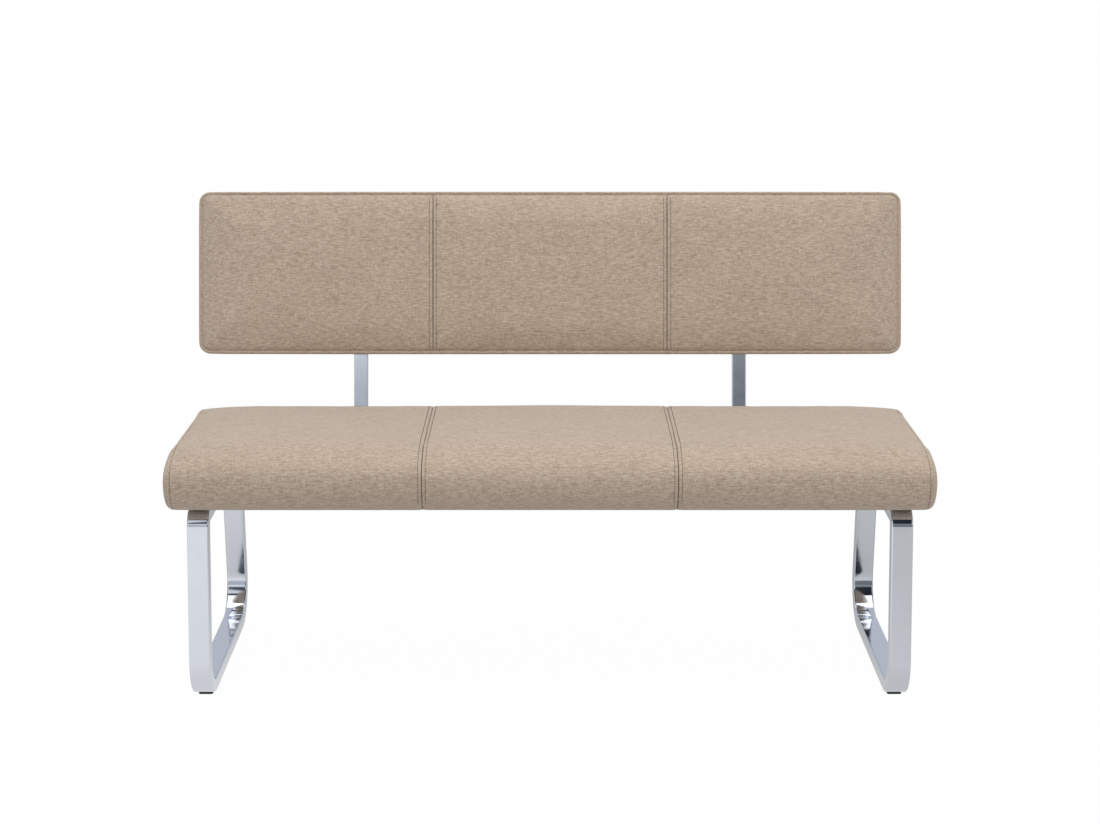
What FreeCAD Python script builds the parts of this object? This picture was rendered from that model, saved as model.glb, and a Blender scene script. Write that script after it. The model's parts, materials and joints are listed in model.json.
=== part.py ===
import FreeCAD, Part
import math
import os

import Sketcher

# A free-standing banquette: a padded seat and back of three sewn panels each, on a hardwood frame
# that stands on two closed loops of flat tube. +X runs along the bench, +Y to its back, +Z up.
# The origin is on the floor, under the middle of the bench.

V = FreeCAD.Vector
SIDES = (("left", -1), ("right", 1))

# Angles, in degrees, at which the rounded borders and the band round the back are drawn
ROUND_STEPS = (0, 30, 60, 90)
BAND_STEPS = (0, 45, 90, 135, 180)

# Driving sizes in millimetres and degrees
SIZES = [
    ("bench_width", 1400, "across the bulge of the end panels"),
    ("datum_to_front", 289.4, "seat's nose ahead of the origin"),
    ("panel_width", 466, "middle panel of seat and back, seam to seam"),
    ("seat_depth", 462, "nose to rear face"),
    ("nose_bottom_radius", 68, "lower half of the nose"),
    ("nose_top_radius", 34, "upper half of the nose"),
    ("nose_slope", 30, "slope where the nose runs into the waterfall"),
    ("nose_rise", 52, "seat's edge height above the middle of the nose"),
    ("rear_top_radius", 30, "seat's rear top edge"),
    ("rear_bottom_radius", 22, "seat's rear bottom edge"),
    ("seat_fall", 7, "seat's top lower at its rear than at its nose"),
    ("seat_crown", 6, "rise of a seat panel between its seams"),
    ("front_crown", 4, "bulge of a seat panel's front between its seams"),
    ("end_bulge", 10, "bulge of the seat's end panels past their seam"),
    ("end_round", 14, "width of the rounded border of a seat end panel"),
    ("cover_thickness", 2, "upholstery cloth with its backing"),
    ("soft_clearance", 0.3, "between foam and what it lies against"),
    ("frame_height", 58, "seat frame"),
    ("rail_thickness", 22, "front and rear rails"),
    ("end_padding", 18, "frame's end to the bench's end"),
    ("end_board_thickness", 8, "boards that close the frame's ends"),
    ("bearer_reach", 26, "leg bearer inward of the leg's middle"),
    ("cross_rail_width", 60, "rails over the arms of the uprights"),
    ("lining_thickness", 1, "dust cloth under the seat"),
    ("screw_radius", 2.5, "frame screws"),
    ("screw_length", 62, "frame screws"),
    ("screw_head_radius", 5, "frame screws"),
    ("screw_head_height", 3, "frame screws"),
    ("screw_spacing", 26, "between the two screws of a joint"),
    ("wire_radius", 1.8, "zigzag springs"),
    ("spring_half_width", 22, "middle of the spring to the middle of a turn's crown"),
    ("spring_pitch", 26, "between neighbouring runs of a spring"),
    ("spring_spacing", 110, "between springs"),
    ("clip_length", 18, "spring clips along the rail"),
    ("clip_width", 14, "spring clips across the rail"),
    ("clip_height", 7, "spring clips"),
    ("felt_thickness", 3, "pad over the springs"),
    ("leg_inset", 52, "middle of a leg loop inward of the bench's end"),
    ("tube_width", 40, "leg tube across the loop"),
    ("tube_depth", 25, "leg tube in the loop's plane"),
    ("tube_wall", 2, "leg tube"),
    ("tube_edge_radius", 3, "leg tube's long edges"),
    ("loop_height", 358, "leg loop, runner to top rail"),
    ("runner_length", 550, "runner between the corners of its sharp outline"),
    ("loop_setback", 7.5, "runner's front corner behind the seat's nose"),
    ("leg_rake", 6.7, "posts from upright, feet outward"),
    ("front_bend_radius", 72, "outside of the runner's front bend"),
    ("rear_bend_radius", 94, "outside of the runner's rear bend"),
    ("top_bend_inside", 7, "inside of the tight top bends"),
    ("glide_width", 27, "floor glides across the runner"),
    ("glide_length", 30, "floor glides along the runner"),
    ("glide_corner_radius", 4, "floor glides' corners"),
    ("glide_height", 4, "floor glides below the runner"),
    ("glide_edge_radius", 1, "floor glides' rims"),
    ("stem_radius", 3.8, "glide's peg"),
    ("stem_length", 12, "glide's peg"),
    ("stem_clearance", 0.2, "peg in the runner"),
    ("upright_spacing", 758, "between the middles of the uprights"),
    ("upright_width", 28, "flat bar of an upright"),
    ("upright_thickness", 10, "flat bar of an upright"),
    ("upright_edge_radius", 2, "flat bar's long edges"),
    ("upright_gap", 2, "upright behind the seat"),
    ("arm_length", 290, "upright's arm under the seat"),
    ("kink_drop", 14, "upright starts to lean this far below the seat's edge"),
    ("back_lean", 13, "back from upright"),
    ("back_start", 103, "kink to the back's lower edge, along the lean"),
    ("back_height", 323.5, "back along the lean"),
    ("back_pad", 34, "back's front foam and cover before the board"),
    ("back_front_edge", 14, "depth of the front panels from their seam"),
    ("back_crown", 4, "crown of each back panel above its border"),
    ("crown_border", 60, "border over which a back panel rises to its crown"),
    ("back_border", 13, "width of a back panel's rounded border"),
    ("channel_border", 5, "rounded border of a back panel at a sewn seam"),
    ("back_corner_radius", 24, "back's corners"),
    ("channel_corner_radius", 3, "back panel's corners at a sewn seam"),
    ("boxing_bulge", 6, "bulge of the band round the back"),
    ("rear_pad", 12, "back's rear foam and cover behind the board's face"),
    ("rear_edge", 8, "depth of the rear cover from its seam"),
    ("board_thickness", 12, "plywood in the back"),
    ("upright_in_back", 200, "length of an upright inside the back"),
    ("bolt_radius", 4, "all bolts"),
    ("bolt_clearance", 0.5, "bolt in its hole"),
    ("thread_clearance", 0.1, "bolt in its tee nut"),
    ("hex_radius", 7.5, "bolt heads, to a corner"),
    ("head_height", 5.3, "bolt heads"),
    ("washer_radius", 9, "washers under the leg bolts"),
    ("washer_thickness", 1.6, "washers under the leg bolts"),
    ("nut_flange_radius", 10, "tee nuts"),
    ("nut_flange_thickness", 1.5, "tee nuts"),
    ("nut_barrel_radius", 5, "tee nuts"),
    ("nut_barrel_length", 10, "tee nuts"),
    ("leg_bolt_spacing", 200, "bolts of one leg loop"),
    ("arm_bolt_inset", 30, "first arm bolt from the arm's front end"),
    ("arm_bolt_spacing", 130, "bolts of one arm"),
    ("back_bolt_inset", 30, "upper back bolt from the upright's top"),
    ("back_bolt_spacing", 100, "bolts of one upright in the back"),
]

doc = FreeCAD.newDocument("Banquette")
sheet = doc.addObject("Spreadsheet::Sheet", "dims")
for row, (alias, value, meaning) in enumerate(SIZES, 1):
    sheet.set(f"A{row}", meaning)
    sheet.set(f"B{row}", str(value))
    sheet.setAlias(f"B{row}", alias)
doc.recompute()

# Expressions for the places that several pieces share
FRONT = "(-dims.datum_to_front)"
UNDERSIDE = "(dims.glide_height + dims.loop_height)"
NOSE = f"({UNDERSIDE} + dims.nose_bottom_radius)"
EDGE = f"({NOSE} + dims.nose_rise)"
FRAME_FRONT = f"({FRONT} + dims.front_crown + dims.nose_bottom_radius)"
FRAME_REAR = f"({FRONT} + dims.seat_depth - dims.rear_bottom_radius)"
FRAME_END = "(dims.bench_width / 2 - dims.end_padding)"
FRAME_TOP = f"({UNDERSIDE} + dims.frame_height)"
RAIL_BOTTOM = f"({UNDERSIDE} + dims.cover_thickness)"
BAY = f"({FRAME_REAR} - {FRAME_FRONT} - 2 * dims.rail_thickness)"
BAY_MIDDLE = f"(({FRAME_FRONT} + {FRAME_REAR}) / 2)"
LEG_X = "(dims.bench_width / 2 - dims.leg_inset)"
RUNNER_FRONT = f"({FRONT} + dims.loop_setback)"
UPRIGHT_X = "(dims.upright_spacing / 2)"
UPRIGHT_Y = f"({FRONT} + dims.seat_depth + dims.upright_gap + dims.upright_thickness / 2)"
ARM_TOP = f"({UNDERSIDE} - dims.lining_thickness)"
ARM_BOTTOM = f"({ARM_TOP} - dims.upright_thickness)"
ARM_FRONT = f"({UPRIGHT_Y} - dims.arm_length)"
KINK = f"({EDGE} - dims.kink_drop)"
FELT_TOP = f"({FRAME_TOP} + dims.clip_height + dims.felt_thickness)"
BOLT_HOLE = "(dims.bolt_radius + dims.bolt_clearance)"


def size(expression):
    """A sheet value, or an expression of them, as a number."""
    text = expression if "dims." in expression else f"dims.{expression}"
    return float(sheet.evalExpression(text))


def bind(thing, **expressions):
    for name, expression in expressions.items():
        thing.setExpression(name, expression)
    return thing


def place_at(x, y, z):
    return f"placement(vector({x}; {y}; {z}); rotation(vector(1; 0; 0); 0))"


def on_back(x, across, along, turn="0"):
    """Place in the leaning back: across is behind the upright's middle, along is up from its kink."""
    y = f"({UPRIGHT_Y} + ({across}) * cos(dims.back_lean) + ({along}) * sin(dims.back_lean))"
    z = f"({KINK} - ({across}) * sin(dims.back_lean) + ({along}) * cos(dims.back_lean))"
    return f"placement(vector({x}; {y}; {z}); rotation(vector(1; 0; 0); {turn} - dims.back_lean))"


def box(label, low, lengths):
    piece = doc.addObject("Part::Box", label)
    return bind(piece, Placement=place_at(*low), Length=lengths[0], Width=lengths[1], Height=lengths[2])


def cylinder(label, placement, radius, height):
    return bind(doc.addObject("Part::Cylinder", label), Placement=placement, Radius=radius, Height=height)


def fuse(label, base, tool):
    piece = doc.addObject("Part::Fuse", label)
    piece.Base = base
    piece.Tool = tool
    return piece


def cut(label, base, tools):
    """The base with every tool taken out of it."""
    piece = doc.addObject("Part::Cut", label)
    piece.Base = base
    piece.Tool = group(f"{label}_cuts", tools)
    return piece


def group(label, members):
    piece = doc.addObject("Part::Compound", label)
    piece.Links = members
    return piece


def shaped(label, shape, placement=None):
    piece = doc.addObject("Part::Feature", label)
    piece.Shape = shape
    if placement:
        piece.Placement = placement
    return piece


def polygon(body, name, points):
    """Closed outline on the body's YZ plane; each point is a pair of expressions."""
    sketch = body.newObject("Sketcher::SketchObject", name)
    plane = next(f for f in body.Origin.OriginFeatures if f.Role == "YZ_Plane")
    sketch.AttachmentSupport = [(plane, "")]
    sketch.MapMode = "FlatFace"
    corners = [V(size(y), size(z), 0) for y, z in points]
    count = len(corners)
    for i in range(count):
        sketch.addGeometry(Part.LineSegment(corners[i], corners[(i + 1) % count]))
    for i in range(count):
        sketch.addConstraint(Sketcher.Constraint("Coincident", i, 2, (i + 1) % count, 1))
    for i, (y, z) in enumerate(points):
        for kind, expression, value in (("DistanceX", y, corners[i].x), ("DistanceY", z, corners[i].y)):
            number = sketch.addConstraint(Sketcher.Constraint(kind, -1, 1, i, 1, value))
            sketch.setExpression(f"Constraints[{number}]", expression)
    return sketch


def pad(body, name, sketch, width):
    feature = body.newObject("PartDesign::Pad", name)
    feature.Profile = sketch
    feature.SideType = "Symmetric"
    bind(feature, Length=width)
    doc.recompute()
    return feature


def edges_along_x(shape, corners):
    """Names of the edges that run along X through the given (y, z) corners."""
    names = []
    for number, edge in enumerate(shape.Edges, 1):
        middle = edge.CenterOfMass
        straight = abs(edge.BoundBox.XLength - edge.Length) < 1e-6
        if straight and any(math.hypot(middle.y - y, middle.z - z) < 1e-3 for y, z in corners):
            names.append(f"Edge{number}")
    return names


def long_edges(shape, half_width):
    """Names of the edges that lie in the two side faces of a padded outline."""
    names = []
    for number, edge in enumerate(shape.Edges, 1):
        reach = edge.BoundBox
        if reach.XLength < 1e-6 and abs(abs(reach.XMin) - half_width) < 1e-3:
            names.append(f"Edge{number}")
    return names


def fillet(body, name, base, edges, radius):
    feature = body.newObject("PartDesign::Fillet", name)
    feature.Base = (base, edges)
    bind(feature, Radius=radius)
    doc.recompute()
    return feature


def loop_corners(inset):
    """Corners of the leg loop's outline, drawn in evenly by inset: front foot first, then round."""
    sideways = f"(({inset}) / cos(dims.leg_rake))"
    low = f"(dims.glide_height + ({inset}))"
    high = f"({UNDERSIDE} - ({inset}))"
    climb_low = f"(({inset}) * tan(dims.leg_rake))"
    climb_high = f"((dims.loop_height - ({inset})) * tan(dims.leg_rake))"
    rear = f"({RUNNER_FRONT} + dims.runner_length)"
    return [
        (f"{RUNNER_FRONT} + {climb_low} + {sideways}", low),
        (f"{rear} - {climb_low} - {sideways}", low),
        (f"{rear} - {climb_high} - {sideways}", high),
        (f"{RUNNER_FRONT} + {climb_high} + {sideways}", high),
    ]


def loop_blank(label, inset, width):
    """Solid loop outline with its four bends, drawn in by inset."""
    body = doc.addObject("PartDesign::Body", label)
    corners = loop_corners(inset)
    sketch = polygon(body, f"{label}_outline", corners)
    blank = pad(body, f"{label}_pad", sketch, width)
    points = [(size(y), size(z)) for y, z in corners]
    toe = edges_along_x(blank.Shape, points[:1])
    bent = fillet(body, f"{label}_toe", blank, toe, f"dims.front_bend_radius - ({inset})")
    heel = edges_along_x(bent.Shape, points[1:2])
    bent = fillet(body, f"{label}_heel", bent, heel, f"dims.rear_bend_radius - ({inset})")
    heads = edges_along_x(bent.Shape, points[2:])
    fillet(body, f"{label}_heads", bent, heads, f"dims.top_bend_inside + dims.tube_depth - ({inset})")
    return body


def leg_loop(side, sign):
    """Closed loop of flat tube, hollow, drilled for two bolts above and two glides below."""
    name = f"leg_loop_{side}"
    outside = loop_blank(f"{name}_outside", "0", "dims.tube_width")
    rim = long_edges(outside.Shape, size("tube_width") / 2)
    fillet(outside, f"{name}_rim", outside.Tip, rim, "dims.tube_edge_radius")
    window = loop_blank(f"{name}_window", "dims.tube_depth", "2 * dims.tube_width")
    void_width = "dims.tube_width - 2 * dims.tube_wall"
    void_outside = loop_blank(f"{name}_void_outside", "dims.tube_wall", void_width)
    void_inside = loop_blank(
        f"{name}_void_inside", "dims.tube_depth - dims.tube_wall", "2 * dims.tube_width"
    )
    ring = cut(f"{name}_ring", outside, [window])
    void = cut(f"{name}_void", void_outside, [void_inside])
    holes = [void]
    for y in leg_bolt_places():
        low = place_at("0", y, f"{UNDERSIDE} - 2 * dims.tube_depth")
        holes.append(cylinder(f"{name}_bolt_hole", low, BOLT_HOLE, "3 * dims.tube_depth"))
    for y in glide_places():
        low = place_at("0", y, "dims.glide_height - dims.tube_wall")
        stem_hole = "dims.stem_radius + dims.stem_clearance"
        holes.append(cylinder(f"{name}_glide_hole", low, stem_hole, "3 * dims.tube_wall"))
    loop = cut(name, ring, holes)
    return bind(loop, Placement=place_at(f"{sign} * {LEG_X}", "0", "0"))


def leg_bolt_places():
    return [f"({BAY_MIDDLE} + {end} * dims.leg_bolt_spacing / 2)" for end in (-1, 1)]


def glide_places():
    """Where the runner's two bends end and its straight begins."""
    bend_run = "tan(45 - dims.leg_rake / 2)"
    return [
        f"({RUNNER_FRONT} + dims.front_bend_radius / {bend_run})",
        f"({RUNNER_FRONT} + dims.runner_length - dims.rear_bend_radius / {bend_run})",
    ]


def glide(label, x, y):
    """Rounded pad that the runner stands on, with a peg up into the tube."""
    low = (f"{x} - dims.glide_width / 2", f"{y} - dims.glide_length / 2", "0")
    block = box(f"{label}_block", low, ("dims.glide_width", "dims.glide_length", "dims.glide_height"))
    soft_edge = doc.addObject("Part::Fillet", f"{label}_rounded")
    soft_edge.Base = block
    doc.recompute()
    rounding = size("glide_edge_radius")
    corner = size("glide_corner_radius")
    soft_edge.Edges = [
        (n, corner, corner) if abs(edge.tangentAt(0).z) > 0.5 else (n, rounding, rounding)
        for n, edge in enumerate(block.Shape.Edges, 1)
    ]
    peg_place = place_at(x, y, "dims.glide_height")
    peg = cylinder(f"{label}_peg", peg_place, "dims.stem_radius", "dims.stem_length")
    return fuse(label, soft_edge, peg)


def bolt(label, placement, length):
    """Hexagon bolt whose shank runs up from the underside of its head."""
    shank = cylinder(f"{label}_shank", placement("0"), "dims.bolt_radius", length)
    head = doc.addObject("Part::Prism", f"{label}_head")
    bind(head, Placement=placement("-dims.head_height"))
    bind(head, Circumradius="dims.hex_radius", Height="dims.head_height")
    return fuse(label, shank, head)


def tee_nut(label, placement):
    """Tee nut: a threaded barrel down into the wood, under a flange that lies on it."""
    flange = cylinder(
        f"{label}_flange", placement("0"), "dims.nut_flange_radius", "dims.nut_flange_thickness"
    )
    barrel = cylinder(
        f"{label}_barrel", placement("-dims.nut_barrel_length"),
        "dims.nut_barrel_radius", "dims.nut_barrel_length",
    )
    bore = cylinder(
        f"{label}_bore", placement("-2 * dims.nut_barrel_length"),
        "dims.bolt_radius + dims.thread_clearance", "4 * dims.nut_barrel_length",
    )
    return cut(label, fuse(f"{label}_blank", flange, barrel), [bore])


def upward(x, y, z):
    """Placements along +Z, at a height above z."""
    return lambda rise: place_at(x, y, f"{z} + ({rise})")


def forward(x, across, along):
    """Placements that look out of the back's front, at a distance ahead of across."""
    return lambda rise: on_back(x, f"{across} - ({rise})", along, "90")


def bored_member(label, low, lengths, bolts, pilots):
    """Frame member drilled up through it for bolts and tee nuts, and in from both ends for screws."""
    blank = box(f"{label}_blank", low, lengths)
    holes = []
    for x, y in bolts:
        bottom = place_at(x, y, f"{low[2]} - dims.frame_height")
        holes.append(cylinder(f"{label}_bolt_hole", bottom, BOLT_HOLE, "3 * dims.frame_height"))
        socket = place_at(x, y, f"{FRAME_TOP} - dims.nut_barrel_length")
        radius = "dims.nut_barrel_radius + dims.thread_clearance"
        holes.append(cylinder(f"{label}_nut_hole", socket, radius, "2 * dims.nut_barrel_length"))
    holes += pilots
    return cut(label, blank, holes)


def screw_lines():
    """Where the screws meet the four members between the rails, inward of the members' bolts."""
    outer = f"({LEG_X} - dims.bearer_reach / 2)"
    inner = f"({UPRIGHT_X} - dims.cross_rail_width / 4)"
    return [f"({sign} * {x})" for x in (outer, inner) for sign in (-1, 1)]


def screw_places():
    middle = f"({FRAME_TOP} - dims.frame_height / 2)"
    return [(x, f"({middle} + {end} * dims.screw_spacing / 2)") for x in screw_lines() for end in (-1, 1)]


def into_frame(x, y, z, sign):
    """Placement that points into the frame from its front (sign 1) or its rear (sign -1)."""
    return f"placement(vector({x}; {y}; {z}); rotation(vector(1; 0; 0); {-90 * sign}))"


def screw_cuts(label, clearance):
    """Screw shapes with room round them, for the holes in rails and members."""
    tools = []
    for x, z in screw_places():
        for face, sign in ((FRAME_FRONT, 1), (FRAME_REAR, -1)):
            tools += screw_shapes(label, x, face, z, sign, clearance)
    return tools


def screw_shapes(label, x, face, z, sign, clearance):
    head = cylinder(
        f"{label}_head", into_frame(x, face, z, sign),
        f"dims.screw_head_radius + {clearance}", f"dims.screw_head_height + {clearance} / 2",
    )
    shank = cylinder(
        f"{label}_shank", into_frame(x, face, z, sign),
        f"dims.screw_radius + {clearance}", f"dims.screw_length + {clearance} / 2",
    )
    return [head, shank]


def frame_screws():
    screws = []
    for x, z in screw_places():
        for face, sign in ((FRAME_FRONT, 1), (FRAME_REAR, -1)):
            screws.append(fuse("frame_screw", *screw_shapes("frame_screw", x, face, z, sign, "0")))
    return group("frame_screws", screws)


def seat_frame():
    """Two long rails, two leg bearers, two cross rails and the boards that close the ends."""
    room = "dims.thread_clearance"
    pieces = []
    for label, y in (("front_rail", FRAME_FRONT), ("rear_rail", f"({FRAME_REAR} - dims.rail_thickness)")):
        low = (f"-{FRAME_END} + dims.end_board_thickness", y, RAIL_BOTTOM)
        lengths = (
            f"2 * {FRAME_END} - 2 * dims.end_board_thickness", "dims.rail_thickness",
            "dims.frame_height - dims.cover_thickness",
        )
        pieces.append(cut(label, box(f"{label}_blank", low, lengths), screw_cuts(label, room)))
    bay_front = f"({FRAME_FRONT} + dims.rail_thickness)"
    for side, sign in SIDES:
        reach = f"({FRAME_END} - dims.end_board_thickness - {LEG_X} + dims.bearer_reach)"
        inner = f"({LEG_X} - dims.bearer_reach)"
        low_x = inner if sign > 0 else f"(-{inner} - {reach})"
        bolts = [(f"{sign} * {LEG_X}", y) for y in leg_bolt_places()]
        bearer = f"leg_bearer_{side}"
        pieces.append(bored_member(
            bearer, (low_x, bay_front, UNDERSIDE), (reach, BAY, "dims.frame_height"),
            bolts, screw_cuts(bearer, room),
        ))
        cross = f"cross_rail_{side}"
        low_x = f"{sign} * {UPRIGHT_X} - dims.cross_rail_width / 2"
        bolts = [(f"{sign} * {UPRIGHT_X}", y) for y in arm_bolt_places()]
        pieces.append(bored_member(
            cross, (low_x, bay_front, UNDERSIDE), ("dims.cross_rail_width", BAY, "dims.frame_height"),
            bolts, screw_cuts(cross, room),
        ))
        end_x = f"({FRAME_END} - dims.end_board_thickness)" if sign > 0 else f"(-{FRAME_END})"
        pieces.append(box(
            f"end_board_{side}", (end_x, FRAME_FRONT, RAIL_BOTTOM),
            ("dims.end_board_thickness", f"{FRAME_REAR} - {FRAME_FRONT}",
             "dims.frame_height - dims.cover_thickness"),
        ))
    return pieces


def arm_bolt_places():
    first = f"({ARM_FRONT} + dims.arm_bolt_inset)"
    return [first, f"({first} + dims.arm_bolt_spacing)"]


def back_bolt_places():
    """Heights of the bolts along the leaning part of an upright."""
    top = "(dims.back_start + dims.upright_in_back - dims.back_bolt_inset)"
    return [f"({top} - dims.back_bolt_spacing)", top]


def upright(side, sign):
    """Flat bar: an arm under the seat, a bend up behind it and a lean into the back."""
    name = f"back_upright_{side}"
    body = doc.addObject("PartDesign::Body", f"{name}_bar")
    half = "(dims.upright_thickness / 2)"
    shift = f"({half} * tan(dims.back_lean / 2))"
    reach = "(dims.back_start + dims.upright_in_back)"
    top_y = f"{UPRIGHT_Y} + {reach} * sin(dims.back_lean)"
    top_z = f"{KINK} + {reach} * cos(dims.back_lean)"
    points = [
        (ARM_FRONT, ARM_BOTTOM),
        (f"{UPRIGHT_Y} + {half}", ARM_BOTTOM),
        (f"{UPRIGHT_Y} + {half}", f"{KINK} - {shift}"),
        (f"{top_y} + {half} * cos(dims.back_lean)", f"{top_z} - {half} * sin(dims.back_lean)"),
        (f"{top_y} - {half} * cos(dims.back_lean)", f"{top_z} + {half} * sin(dims.back_lean)"),
        (f"{UPRIGHT_Y} - {half}", f"{KINK} + {shift}"),
        (f"{UPRIGHT_Y} - {half}", ARM_TOP),
        (ARM_FRONT, ARM_TOP),
    ]
    bar = pad(body, f"{name}_pad", polygon(body, f"{name}_outline", points), "dims.upright_width")
    places = [(size(y), size(z)) for y, z in points]
    inside = "(dims.rear_bottom_radius + dims.upright_gap)"
    bend = fillet(body, f"{name}_inside_bend", bar, edges_along_x(bar.Shape, places[6:7]), inside)
    bend = fillet(
        body, f"{name}_outside_bend", bend, edges_along_x(bend.Shape, places[1:2]),
        f"{inside} + dims.upright_thickness",
    )
    rim = long_edges(bend.Shape, size("upright_width") / 2)
    fillet(body, f"{name}_rim", bend, rim, "dims.upright_edge_radius")
    holes = []
    for y in arm_bolt_places():
        low = place_at("0", y, f"{ARM_BOTTOM} - dims.upright_thickness")
        holes.append(cylinder(f"{name}_arm_hole", low, BOLT_HOLE, "3 * dims.upright_thickness"))
    for along in back_bolt_places():
        start = on_back("0", "1.5 * dims.upright_thickness", along, "90")
        holes.append(cylinder(f"{name}_back_hole", start, BOLT_HOLE, "3 * dims.upright_thickness"))
    return bind(cut(name, body, holes), Placement=place_at(f"{sign} * {UPRIGHT_X}", "0", "0"))


def fasteners():
    """Bolts, washers and tee nuts, one group for each kind and place."""
    leg = [(f"{sign} * {LEG_X}", y) for _, sign in SIDES for y in leg_bolt_places()]
    washer_top = f"({UNDERSIDE} - dims.tube_depth)"
    washer_bottom = f"({washer_top} - dims.washer_thickness)"
    arm = [(f"{sign} * {UPRIGHT_X}", y) for _, sign in SIDES for y in arm_bolt_places()]
    back = [(f"{sign} * {UPRIGHT_X}", along) for _, sign in SIDES for along in back_bolt_places()]
    bar_rear = "(dims.upright_thickness / 2)"
    board_face = "(-dims.upright_thickness / 2 - dims.board_thickness)"
    washers = []
    for x, y in leg:
        place = place_at(x, y, washer_bottom)
        disc = cylinder("leg_washer_disc", place, "dims.washer_radius", "dims.washer_thickness")
        below = place_at(x, y, f"{washer_bottom} - dims.washer_thickness")
        hole = cylinder("leg_washer_hole", below, BOLT_HOLE, "3 * dims.washer_thickness")
        washers.append(cut("leg_washer", disc, [hole]))
    leg_length = "dims.frame_height + dims.tube_depth + dims.washer_thickness"
    arm_length = "dims.frame_height + dims.lining_thickness + dims.upright_thickness"
    back_length = "dims.upright_thickness + dims.board_thickness"
    return [
        group("leg_washers", washers),
        group("leg_bolts", [bolt("leg_bolt", upward(x, y, washer_bottom), leg_length) for x, y in leg]),
        group("leg_tee_nuts", [tee_nut("leg_tee_nut", upward(x, y, FRAME_TOP)) for x, y in leg]),
        group("arm_bolts", [bolt("arm_bolt", upward(x, y, ARM_BOTTOM), arm_length) for x, y in arm]),
        group("arm_tee_nuts", [tee_nut("arm_tee_nut", upward(x, y, FRAME_TOP)) for x, y in arm]),
        group("back_bolts", [bolt("back_bolt", forward(x, bar_rear, s), back_length) for x, s in back]),
        group("back_tee_nuts", [tee_nut("back_tee_nut", forward(x, board_face, s)) for x, s in back]),
    ]


def spring_places():
    """Middles of the springs: evenly spaced in each bay between the members."""
    half_member = size("cross_rail_width") / 2
    inner = size(UPRIGHT_X)
    outer = size(f"{LEG_X} - dims.bearer_reach")
    room = size("spring_half_width") + size("wire_radius") + size("bolt_radius")
    bays = [
        (-outer, -inner - half_member),
        (-inner + half_member, inner - half_member),
        (inner + half_member, outer),
    ]
    middles = []
    for low, high in bays:
        count = max(1, int((high - low - 2 * room) / size("spring_spacing")) + 1)
        first = (low + high) / 2 - size("spring_spacing") * (count - 1) / 2
        middles += [first + size("spring_spacing") * i for i in range(count)]
    return middles


def spring_ends():
    """Front and rear run of every spring, on the middles of the rails."""
    half_rail = size("rail_thickness") / 2
    return size(FRAME_FRONT) + half_rail, size(FRAME_REAR) - half_rail


def spring_height():
    return size(f"{FRAME_TOP} + dims.clip_height / 2")


def zigzag(x):
    """One spring of round wire: runs along X joined by half turns, from rail to rail."""
    front, rear = spring_ends()
    z = spring_height()
    turns = max(2, round((rear - front) / size("spring_pitch")))
    turn_radius = (rear - front) / turns / 2
    reach = size("spring_half_width") - turn_radius
    edges = [Part.LineSegment(V(x - reach, front, z), V(x + reach, front, z)).toShape()]
    for turn in range(turns):
        way = 1 if turn % 2 == 0 else -1
        start = front + 2 * turn_radius * turn
        tip = V(x + way * (reach + turn_radius), start + turn_radius, z)
        slant = turn_radius * math.sqrt(0.5)
        first = V(x + way * (reach + slant), start + turn_radius - slant, z)
        last = V(x + way * (reach + slant), start + turn_radius + slant, z)
        edges.append(Part.Arc(V(x + way * reach, start, z), first, tip).toShape())
        edges.append(Part.Arc(tip, last, V(x + way * reach, start + 2 * turn_radius, z)).toShape())
        after = start + 2 * turn_radius
        edges.append(Part.LineSegment(V(x + way * reach, after, z), V(x - way * reach, after, z)).toShape())
    path = Part.Wire(edges)
    section = Part.Wire(Part.Circle(V(x - reach, front, z), V(1, 0, 0), size("wire_radius")).toShape())
    return path.makePipeShell([section], True, False)


def springs_and_clips():
    wires = [zigzag(x) for x in spring_places()]
    length, width, height = size("clip_length"), size("clip_width"), size("clip_height")
    clips = []
    for x in spring_places():
        for y in spring_ends():
            block = Part.makeBox(length, width, height, V(x - length / 2, y - width / 2, size(FRAME_TOP)))
            channel = Part.makeCylinder(
                size("wire_radius") + size("thread_clearance"), 2 * length,
                V(x - length, y, spring_height()), V(1, 0, 0),
            )
            clips.append(block.cut(channel))
    return [
        shaped("seat_springs", Part.makeCompound(wires)),
        shaped("spring_clips", Part.makeCompound(clips)),
    ]


def arc(x, centre, radius, start, end):
    """Arc in the plane at x, about a (y, z) centre, between two angles in degrees from +Y."""
    def at(angle):
        turn = math.radians(angle)
        return V(x, centre[0] + radius * math.cos(turn), centre[1] + radius * math.sin(turn))
    return Part.Arc(at(start), at((start + end) / 2), at(end)).toShape()


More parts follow.
